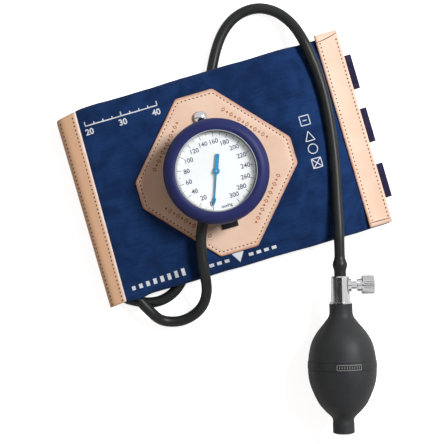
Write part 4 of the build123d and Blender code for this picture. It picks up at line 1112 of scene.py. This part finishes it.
class StripsOperator(bpy.types.Operator):
    """Bind the cuff's two ends with stitched leather"""
    bl_idname = "cuff.strips"
    bl_label = "Leather strips"

    def execute(self, context):
        self.left()
        self.right()
        return {"FINISHED"}

    def mask_edges(self, piece, lines):
        """Marks what lies within reach of the given (x, z) edges."""
        set_edge_mask(piece, [
            clamp(1.3 - min(math.hypot(v.co.x - x, v.co.z - z) for x, z in lines) / (1.5 * MM))
            for v in piece.data.vertices])

    def left(self):
        thick = LEATHER_THICK
        outer, inner = STRIP_LOW.x, STRIP_HIGH.x
        middle_z = PANEL_HIGH.z + thick / 2
        bend = 4.2 * MM + thick / 2
        corner_x, corner_z = outer + thick / 2 + bend, middle_z - bend
        path = [(x, middle_z) for x in spaced(inner - 0.5 * MM, corner_x, 8)[:-1]]
        path += [(corner_x - bend * math.sin(math.radians(a)),
                  corner_z + bend * math.cos(math.radians(a))) for a in range(0, 91, 9)]
        path += [(outer + thick / 2, z)
                 for z in spaced(corner_z, STRIP_LOW.z + 0.4 * MM, 3)[1:]]
        # The strip's leather is painted darker: painted shade, as this strip is lit less than the
        # right one
        piece = ribbon("left_leather", thick_line(path, thick), STRIP_LOW.y, STRIP_HIGH.y,
                       MAIN, "tan_leather", "pale_edge_leather", wave=0.16 * MM, seed=1.0)
        # The inner edge is painted pale: partly the cut edge, partly a painted highlight where it
        # faces the light
        self.mask_edges(piece, [(inner, middle_z), (inner, PATCH_HIGH.z)])

        def laid(x, y):
            """Where a place of the plain strip goes on the tapered one.

            Both edges lean a little on their way up, the inner one more than the outer one,
            and the strip's ends run up towards its inner edge, the upper end more steeply.
            """
            up = (y - STRIP_LOW.y) / (STRIP_HIGH.y - STRIP_LOW.y)
            new_inner = (-92.3 + 3.1 * up) * MM
            new_outer = (-105.3 + 0.4 * up) * MM
            new_x = new_inner + (x - inner) * (new_outer - new_inner) / (outer - inner)
            new_y = (-73.6 + 147.4 * up) * MM + (0.10 + 0.09 * up) * (new_x - new_inner)
            return new_x, new_y
        for vertex in piece.data.vertices:
            vertex.co.x, vertex.co.y = laid(vertex.co.x, vertex.co.y)
        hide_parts("left_leather_strip")

        def seam(name, x, z, normal):
            ys = spaced(STRIP_LOW.y + 1.5 * MM, STRIP_HIGH.y - 1.5 * MM, 60)
            stitches(name, [(Vector((*laid(x, y), z)), normal) for y in ys], MAIN,
                     "tan_leather")
        seam("left_inner_seam", inner - 2.3 * MM, PATCH_HIGH.z, (0, 0, 1))
        angle, reach = math.radians(36), bend + thick / 2
        seam("left_outer_seam", corner_x - reach * math.sin(angle),
             corner_z + reach * math.cos(angle), (-math.sin(angle), 0, math.cos(angle)))

    def right(self):
        thick, lift = LEATHER_THICK, 0.05 * MM
        left, right, low, high = EDGE_LOW.x, EDGE_HIGH.x, EDGE_LOW.y, EDGE_HIGH.y
        path = [(x, panel_top(x) + thick / 2 + lift)
                for x in spaced(left + 0.5 * MM, right - 0.4 * MM, 18)]
        piece = ribbon("right_leather", thick_line(path, thick), low, high, MAIN,
                       "tan_leather", "leather", wave=0.14 * MM, seed=8.0)
        # The inner edge, facing away from the light, takes the darker edge colour: burnished
        # leather and painted shade
        self.mask_edges(piece, [(left, panel_top(left) + thick * 0.35)])
        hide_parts("right_leather_strip")
        for name, x in (("right_inner_seam", left + 2.6 * MM),
                        ("right_outer_seam", right - 1.9 * MM)):
            z = panel_top(x) + thick + lift
            stitches(name, [(Vector((x, y, z)), (0.12, 0, 1))
                            for y in spaced(low + 4.5 * MM, high - 4.5 * MM, 60)],
                     MAIN, "tan_leather")
        self.end_creases(left, right, low, high, thick)

    def end_creases(self, left, right, low, high, thick):
        """A dark line across each end of the right strip, just below its turned edge."""
        skin, count = Skin(), 16
        for start_y, end_y in ((low + 3.4 * MM, low + 3.0 * MM),
                               (high - 5.4 * MM, high - 2.2 * MM)):
            rings = []
            for k, x in enumerate(spaced(left + 0.5 * MM, right - 0.5 * MM, count)):
                share = k / count
                y, z = start_y + (end_y - start_y) * share ** 1.6, panel_top(x) + thick
                half = 0.30 * MM * (0.55 + 0.45 * math.sin(math.pi * share))
                rings.append([Vector((x, y + side * half, z + lift * MM)) for side, lift in
                              ((-1, 0.0), (-1, 0.22), (1, 0.22), (1, 0.0))])
            skin.add_rings(rings)
        skin.piece("strip_creases", MAIN, "tan_leather", "needle_hole")


def octagon(scale=1.0):
    """The patch's corners, anticlockwise from the right."""
    x, y, side, end = PATCH_HIGH.x, PATCH_HIGH.y, PATCH_SIDE, PATCH_END
    places = [(x, side), (end, y), (-end, y), (-x, side), (-x, -side), (-end, -y), (end, -y),
              (x, -side)]
    return [Vector((a * scale, b * scale, 0)) for a, b in places]


def round_outline(places, bend, pitch):
    """An outline with its corners rounded off, as evenly spaced points."""
    path = []
    for k, corner in enumerate(places):
        a = corner + (places[k - 1] - corner).normalized() * bend
        b = corner + (places[(k + 1) % len(places)] - corner).normalized() * bend
        path += [a * (1 - share) ** 2 + corner * 2 * share * (1 - share) + b * share ** 2
                 for share in spaced(0.0, 1.0, 4)]
    return [point for point, _ in even_points(path, pitch, closed=True)[0]]


class PatchOperator(bpy.types.Operator):
    """Cut, burnish and sew the eight-sided leather patch"""
    bl_idname = "cuff.patch"
    bl_label = "Leather patch"

    def execute(self, context):
        outline = round_outline(octagon(), bend=1.6 * MM, pitch=1.1 * MM)
        top, thick = PATCH_HIGH.z, LEATHER_THICK
        inradius = 51.85 * MM
        groove = context.scene.leather_settings.inset
        # From the lower edge to the middle, as (distance in from the edge, drop from the top)
        rings = [(0.0, -thick + 0.03 * MM), (0.0, -0.55 * MM), (0.12 * MM, -0.26 * MM),
                 (0.35 * MM, -0.09 * MM), (0.8 * MM, 0), (groove - 0.7 * MM, 0),
                 (groove - 0.35 * MM, -0.10 * MM), (groove, -0.16 * MM),
                 (groove + 0.35 * MM, -0.10 * MM), (groove + 0.7 * MM, 0)]
        rings += [(inset * MM, 0) for inset in (5.5, 8, 11, 15, 20, 27, 36, 45)]
        skin, mask, made = Skin(), [], []
        for inset, drop in rings:
            scale = 1 - inset / inradius
            settle = min(1.0, inset / (4 * MM))
            ring = []
            for point in outline:
                x, y = point.x * scale, point.y * scale
                rise = (ripple(x, y, 28, 9.3) * 0.22 - 0.1) * MM * settle
                ring.append(Vector((x, y, top + drop + rise)))
            made.append(ring)
            burnt = max(0.0, 1.0 - inset / (1.7 * MM)) if drop > -thick * 0.9 else 1.0
            mask += [burnt] * len(outline)
        skin.add_rings(made, open_end=True)
        count, middle = len(outline), len(skin.verts)
        skin.verts.append(Vector((0, 0, top)))
        skin.faces += [(middle - count + k, middle - count + (k + 1) % count, middle)
                       for k in range(count)]
        patch = skin.piece("patch_leather", MAIN, "tan_leather", "leather")
        set_edge_mask(patch, mask + [0.0])
        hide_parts("leather_patch")
        height = surface_of(patch)
        scale = 1 - groove / inradius
        seam = [(Vector((p.x * scale, p.y * scale, height(p.x * scale, p.y * scale, top))),
                 (0, 0, 1)) for p in outline]
        stitches("patch_seam", seam, MAIN, "tan_leather", closed=True)
        self.tooling(height)
        return {"FINISHED"}

    def tooling(self, height):
        """A row of plain diamond stamps along each slanted side."""
        skin, mask, count = Skin(), [], 12
        places = octagon(0.825)
        for a, b in zip(places[::2], places[1::2]):
            way = (b - a).normalized()
            side = Vector((-way.y, way.x, 0))
            for k in range(count):
                middle = a + (b - a) * (0.16 + 0.68 * k / (count - 1))
                long, wide = (2.0 * MM, 1.45 * MM) if k % 2 else (1.2 * MM, 0.9 * MM)
                sunk = -0.03 * MM if k % 2 else 0.05 * MM
                rings = []
                for lift, size in ((-0.25 * MM, 1.0), (0.06 * MM, 1.0), (sunk, 0.30)):
                    ring = [middle + (way * ahead + side * across) * size for ahead, across in
                            ((0, long), (-wide, 0), (0, -long), (wide, 0))]
                    for place in ring:
                        place.z = height(place.x, place.y, PATCH_HIGH.z) + lift
                    rings.append(ring)
                    mask += [1.0 if size < 1 else 0.3] * len(ring)
                skin.add_rings(rings)
        stamps = skin.piece("patch_tooling", MAIN, "tan_leather", "tooling", smooth=False)
        set_edge_mask(stamps, mask)


class StrapOperator(bpy.types.Operator):
    """Lay the black strap that holds the gauge"""
    bl_idname = "cuff.strap"
    bl_label = "Gauge strap"

    def execute(self, context):
        low, high = corners("gauge_strap")
        thick = STRAP_THICK
        ends, middle = low.z + thick / 2, high.z - thick / 2
        ramp_z = (ends * 2 + middle) / 3
        path = [(low.y + 0.2 * MM, ends), (low.y + 3 * MM, ends)]
        path += [(y * MM, z) for y, z in ((-37, ends), (-33, ramp_z), (-27, middle), (0, middle),
                                          (27, middle), (33, ramp_z), (37, ends))]
        path += [(high.y - 4 * MM, ends), (high.y - 0.2 * MM, ends)]
        path = [(p.x, p.y) for p in smooth_path(path, 6)]
        section = [(y, z + thick / 2) for y, z in path]
        section += [(y, z - thick / 2) for y, z in path[::-1]]
        rings = []
        for share in (-1, -0.97, -0.88, -0.6, 0, 0.6, 0.88, 0.97, 1):
            pinch = {1: 0.6, 0.97: 0.9}.get(abs(share), 1.0)
            ring = []
            for y, z in section:
                near = min(path, key=lambda p: abs(p[0] - y))[1]
                ring.append(Vector((self.middle_x(y) + self.half_width(y) * share, y,
                                    near + (z - near) * pinch)))
            rings.append(ring)
        skin = Skin()
        skin.add_rings(rings)
        strap = skin.piece("strap_leather", MAIN, "black_strap", "black_leather")
        set_edge_mask(strap, [0.0] * len(skin.verts))
        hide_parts("gauge_strap")
        dress("chrome", "strap_snap_cap", "snap_socket")
        dress("steel", "gauge_clip")
        return {"FINISHED"}

    def middle_x(self, y):
        """The strap leans a little towards its lower end."""
        return -1.3 * MM * clamp((33 * MM - y) / (75.8 * MM))

    def half_width(self, y):
        """Even along the strap, tapered and rounded off at the snap."""
        full, tip, taper, snap = 6.2 * MM, 4.2 * MM, 33 * MM, 43 * MM
        if y <= taper:
            return full
        if y <= snap:
            return full + (tip - full) * (y - taper) / (snap - taper)
        return math.sqrt(max(tip ** 2 - (y - snap) ** 2, (0.4 * MM) ** 2))


class GaugeOperator(bpy.types.Operator):
    """Finish the gauge's case, ring, glass and movement"""
    bl_idname = "cuff.gauge"
    bl_label = "Gauge"

    def execute(self, context):
        dress("ring_rubber", "bumper_ring")
        dress("case_enamel", "gauge_case")
        dress("chrome", "bezel_ring", "gauge_nipple", "case_screws")
        dress("lens_glass", "lens")
        dress("seal_rubber", "valve_o_ring", "inlet_disc")
        dress("pale_gasket", "lens_gasket")
        dress("dial_enamel", "dial_plate")
        dress("pointer_enamel", "pointer")
        dress("brass", "capsule_base", "movement_lower_plate", "movement_upper_plate",
              "movement_pillars", "sector_gear", "push_pin")
        dress("steel", "movement_screws", "rocking_shaft", "pinion_spindle", "hairspring")
        dress("bronze", "capsule_bellows")
        return {"FINISHED"}


class DialOperator(bpy.types.Operator):
    """Print the divisions and figures on the dial"""
    bl_idname = "cuff.dial"
    bl_label = "Dial print"

    def execute(self, context):
        gauge = context.scene.gauge_settings
        self.divisions(gauge)
        self.figures(gauge)
        return {"FINISHED"}

    def way_to(self, gauge, value):
        """The way from the dial's middle to a value."""
        angle = gauge.zero + gauge.sweep * value / gauge.full_scale
        return Vector((math.sin(angle), math.cos(angle), 0))

    def divisions(self, gauge):
        skin, outer = Skin(), 29.0 * MM
        for value in range(0, gauge.full_scale + 1, 2):
            way = self.way_to(gauge, value)
            side = Vector((way.y, -way.x, 0))
            start, width = 27.7 * MM, 0.20 * MM
            if value % gauge.numbered == 0:
                start, width = 25.3 * MM, 0.45 * MM
            elif value % 10 == 0:
                start, width = 26.5 * MM, 0.32 * MM
            skin.add_rings([
                [way * radius + side * across * width / 2 + Vector((0, 0, z))
                 for radius, across in ((start, -1), (start, 1), (outer, 1), (outer, -1))]
                for z in (DIAL_TOP - 0.02 * MM, DIAL_TOP + 0.03 * MM)])
        skin.piece("dial_divisions", MAIN, "dial_white", "dial_ink", smooth=False)

    def figures(self, gauge):
        size, words = gauge.figure_height, []
        for value in range(gauge.numbered, gauge.full_scale + 1, gauge.numbered):
            place = self.way_to(gauge, value) * gauge.figure_r
            words.append((str(value), place.x, place.y, size))
        zero = self.way_to(gauge, 0) * 23.4 * MM
        words += [("0", zero.x - 1.9 * MM, zero.y, size), ("mmHg", 0.4 * MM, -26.2 * MM, 0.0030)]
        printed_words("dial_figures", words, lambda x, y: DIAL_TOP, "dial_white", "dial_ink",
                      bold=0.09 * MM, lift=0.02 * MM)


def printed_words(name, words, height, slot, material, bold, lift):
    """Figures, given as (text, x, y, size), printed on a surface as one thin mesh."""
    skin = Skin()
    for text, x, y, size in words:
        curve = bpy.data.curves.new(name, "FONT")
        curve.body, curve.size = text, size
        curve.align_x, curve.align_y = "CENTER", "CENTER"
        curve.resolution_u = 3
        curve.extrude, curve.offset = lift, bold
        letter = add_object(name + "_draft", curve)
        bpy.context.view_layer.update()
        graph = bpy.context.evaluated_depsgraph_get()
        mesh = bpy.data.meshes.new_from_object(letter.evaluated_get(graph))
        base = len(skin.verts)
        for vertex in mesh.vertices:
            px, py = x + vertex.co.x, y + vertex.co.y
            skin.verts.append(Vector((px, py, height(px, py) + vertex.co.z)))
        skin.faces += [tuple(base + k for k in face.vertices) for face in mesh.polygons]
        bpy.data.objects.remove(letter)
        bpy.data.meshes.remove(mesh)
        bpy.data.curves.remove(curve)
    return skin.piece(name, MAIN, slot, material, smooth=False)


class MarksOperator(bpy.types.Operator):
    """Print plain marks on the cuff: a range rule, an arrow and simple signs"""
    bl_idname = "cuff.marks"
    bl_label = "Printed marks"

    def execute(self, context):
        self.height = surface_of(bpy.data.objects["cuff_panel"])
        self.skin = Skin()
        self.range_rule(-84.5 * MM, 61.0 * MM)
        self.scale_bars(-84.0 * MM, -67.2 * MM)
        self.arrow(-1.7 * MM, -61.9 * MM)
        self.signs()
        self.skin.piece("cuff_marks", MAIN, "navy_cloth", "mark_print", smooth=False)
        words = [(text, x * MM, 56.0 * MM, 6.4 * MM)
                 for text, x in (("20", -82.5), ("30", -56.5), ("40", -30.5))]
        printed_words("cuff_figures", words, lambda x, y: self.height(x, y, PANEL_HIGH.z),
                      "navy_cloth", "mark_print", bold=0.16 * MM, lift=0.14 * MM)
        return {"FINISHED"}

    def bar(self, a, b, width):
        """A printed line from one (x, y) place to another, laid on the cloth."""
        a, b = Vector((*a, 0)), Vector((*b, 0))
        way = (b - a).normalized()
        side = Vector((-way.y, way.x, 0)) * width / 2
        rings = []
        for middle in spaced(a, b, max(1, round((b - a).length / (1.6 * MM)))):
            left, right = middle + side, middle - side
            for corner in (left, right):
                corner.z = self.height(corner.x, corner.y, PANEL_HIGH.z)
            rings.append([corner + Vector((0, 0, lift * MM)) for corner, lift in
                          ((left, 0.16), (right, 0.16), (right, -0.10), (left, -0.10))])
        self.skin.add_rings(rings)

    def range_rule(self, x, y):
        length, parts = 56 * MM, 8
        self.bar((x, y), (x + length, y), 0.9 * MM)
        for k, place in enumerate(spaced(x, x + length, parts)):
            self.bar((place, y), (place, y + (3.4 if k % 4 == 0 else 1.9) * MM), 0.8 * MM)

    def scale_bars(self, x, y):
        """A row of plain bars of growing height."""
        for k in range(8):
            place = x + k * 5.6 * MM
            self.bar((place, y), (place, y + (3.0 + 0.36 * k) * MM), 2.7 * MM)

    def arrow(self, x, y):
        """A plain triangle that points down, with dashes on both sides."""
        rows = 9
        for k in range(rows):
            share = (k + 0.5) / rows
            half, at = 4.6 * MM * (1 - share), y - 7.4 * MM * share
            self.bar((x - half, at), (x + half, at), 0.9 * MM)
        at = y - 4.0 * MM
        for side in (-1, 1):
            for k in range(4):
                start = x + side * (7.6 + 6.0 * k) * MM
                self.bar((start, at), (start + side * 3.6 * MM, at), 2.4 * MM)

    def signs(self):
        """A barred square, a triangle, a ring and a crossed square, in a column."""
        x, size, line = 74.5 * MM, 3.6 * MM, 0.62 * MM
        square = [(-size, -size), (size, -size), (size, size), (-size, size)]
        triangle = [(-size, -size), (size, -size), (0, size)]
        ring = [(size * math.cos(k * math.pi / 10), size * math.sin(k * math.pi / 10))
                for k in range(20)]
        for y, shape in ((18.9, square), (6.8, triangle), (-3.2, ring), (-14.2, square)):
            points = [(x + a, y * MM + b) for a, b in shape]
            for a, b in zip(points, points[1:] + points[:1]):
                self.bar(a, b, line)
        for half, from_y, to_y in ((size, -10.6, -17.8), (size, -17.8, -10.6),
                                   (1.6 * MM, 18.9, 18.9)):
            self.bar((x - half, from_y * MM), (x + half, to_y * MM), line)


class ValveOperator(bpy.types.Operator):
    """Finish the plated release valve and the bulb's air inlet"""
    bl_idname = "cuff.valve"
    bl_label = "Release valve"

    def execute(self, context):
        dress("chrome", "valve_body", "valve_barb", "valve_bonnet", "release_knob",
              "release_spindle", "inlet_valve_body")
        dress("brass", "release_pin", "outlet_seat", "outlet_retainer")
        dress("steel", "outlet_ball", "outlet_spring", "inlet_filter")
        return {"FINISHED"}


class BulbOperator(bpy.types.Operator):
    """Mould the rubber bulb, with its band and a bare raised frame"""
    bl_idname = "cuff.bulb"
    bl_label = "Rubber bulb"

    def execute(self, context):
        self.rubber = context.scene.rubber_settings
        self.edges = (self.rubber.band_from, self.rubber.band_to)
        outside = [(0.0, 8.25), (0.35, 8.6), (4.5, 8.62), (9.0, 9.2), (13.6, 12.3), (22.5, 19.3),
                   (31.4, 23.4), (45.4, 25.5), (58.6, 24.4), (72.3, 18.9), (79.1, 13.8),
                   (84.8, 8.4), (90.0, 8.1), (95.3, 8.1), (95.75, 7.8)]
        inside = [(95.7, 5.2), (83.0, 5.0), (60, 5.0), (30, 5.0), (10, 5.0), (0.1, 5.1)]
        self.curve = smooth_path([Vector(p) * MM for p in outside], 9)
        profile = [(p.x, p.y + self.band(p.x)) for p in self.curve]
        for edge in self.edges:
            for step in (-0.7, -0.45, -0.2, 0.0, 0.2, 0.45, 0.7):
                distance = edge + step * MM
                profile.append((distance, self.radius_at(distance) + self.band(distance)))
        profile.sort()
        profile += [(distance * MM, radius * MM) for distance, radius in inside]
        side = BULB_WAY.cross(Vector((0, 0, 1))).normalized()
        skin = Skin()
        skin.add_rings([circle(BULB_MOUTH + BULB_WAY * distance, side, side.cross(BULB_WAY),
                               radius, count=144) for distance, radius in profile], closed=True)
        bulb = skin.piece("bulb_skin", MAIN, "bulb_rubber", "bulb_rubber")
        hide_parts("bulb")
        self.frame_mark()
        return {"FINISHED"}

    def radius_at(self, distance):
        for a, b in zip(self.curve, self.curve[1:]):
            if a.x <= distance <= b.x:
                return a.y + (b.y - a.y) * (distance - a.x) / max(b.x - a.x, 1e-9)
        return self.curve[-1].y

    def band(self, distance):
        """How far the skin stands out: a low band, with a groove at each of its edges."""
        rise = self.rubber.band_rise if self.edges[0] < distance < self.edges[1] else 0.0
        for edge in self.edges:
            rise -= max(0.0, 0.45 * MM - abs(distance - edge)) * 0.9
        return rise

    def frame_mark(self):
        """A thin raised frame round a row of plain bars, on the band."""
        middle, aside = sum(self.edges) / 2, 2.9 * MM
        long, wide, half_line, lift = 9.2 * MM, 1.85 * MM, 0.25 * MM, 0.2 * MM
        skin = Skin()

        def place(across, distance, height):
            radius = self.radius_at(distance) + self.rubber.band_rise + height
            angle = across / radius
            return (BULB_MOUTH + BULB_WAY * distance + BULB_SIDE * radius * math.sin(angle)
                    + Vector((0, 0, radius * math.cos(angle))))

        def rib(a, b, c, d):
            """One line of the frame, from (a, b) to (c, d) across and along."""
            level = abs(c - a) > abs(d - b)
            more = (0, half_line) if level else (half_line, 0)
            skin.add_rings([
                [place(across + more[0] * sign + aside, middle + along + more[1] * sign, height)
                 for sign, height in ((-1, -lift), (1, -lift), (1, lift), (-1, lift))]
                for across, along in zip(spaced(a, c, 14), spaced(b, d, 14))])
        rib(-long, -wide, long, -wide)
        rib(-long, wide, long, wide)
        rib(-long, -wide, -long, wide)
        rib(long, -wide, long, wide)
        for k in range(9):
            across = long * (-0.8 + 0.2 * k)
            rib(across, -0.8 * MM, across, 0.8 * MM)
        skin.piece("bulb_frame", MAIN, "bulb_rubber", "frame_rubber")


STEPS = ("studio", "hoses", "panel", "fold", "closure", "strips", "patch", "strap", "gauge",
         "dial", "marks", "valve", "bulb")


class CuffPanel(bpy.types.Panel):
    """Lists the steps that dress the cuff and gauge"""
    bl_idname = "VIEW3D_PT_cuff"
    bl_label = "Arm cuff and gauge"
    bl_space_type = "VIEW_3D"
    bl_region_type = "UI"
    bl_category = "Cuff"

    def draw(self, context):
        for step in STEPS:
            self.layout.operator("cuff." + step)


SETTINGS = (("studio_settings", StudioSettings), ("cuff_settings", CuffSettings),
            ("leather_settings", LeatherSettings), ("gauge_settings", GaugeSettings),
            ("rubber_settings", RubberSettings), ("metal_settings", MetalSettings))
CLASSES = (StudioOperator, HosesOperator, CuffOperator, FoldOperator, ClosureOperator,
           StripsOperator, PatchOperator, StrapOperator, GaugeOperator, DialOperator,
           MarksOperator, ValveOperator, BulbOperator, CuffPanel)


def register():
    for name, group in SETTINGS:
        bpy.utils.register_class(group)
        setattr(bpy.types.Scene, name, PointerProperty(type=group))
    for kind in CLASSES:
        bpy.utils.register_class(kind)


def unregister():
    for kind in reversed(CLASSES):
        bpy.utils.unregister_class(kind)
    for name, group in reversed(SETTINGS):
        delattr(bpy.types.Scene, name)
        bpy.utils.unregister_class(group)


def main():
    register()
    for step in STEPS:
        getattr(bpy.ops.cuff, step)()


if __name__ == "__main__":
    main()
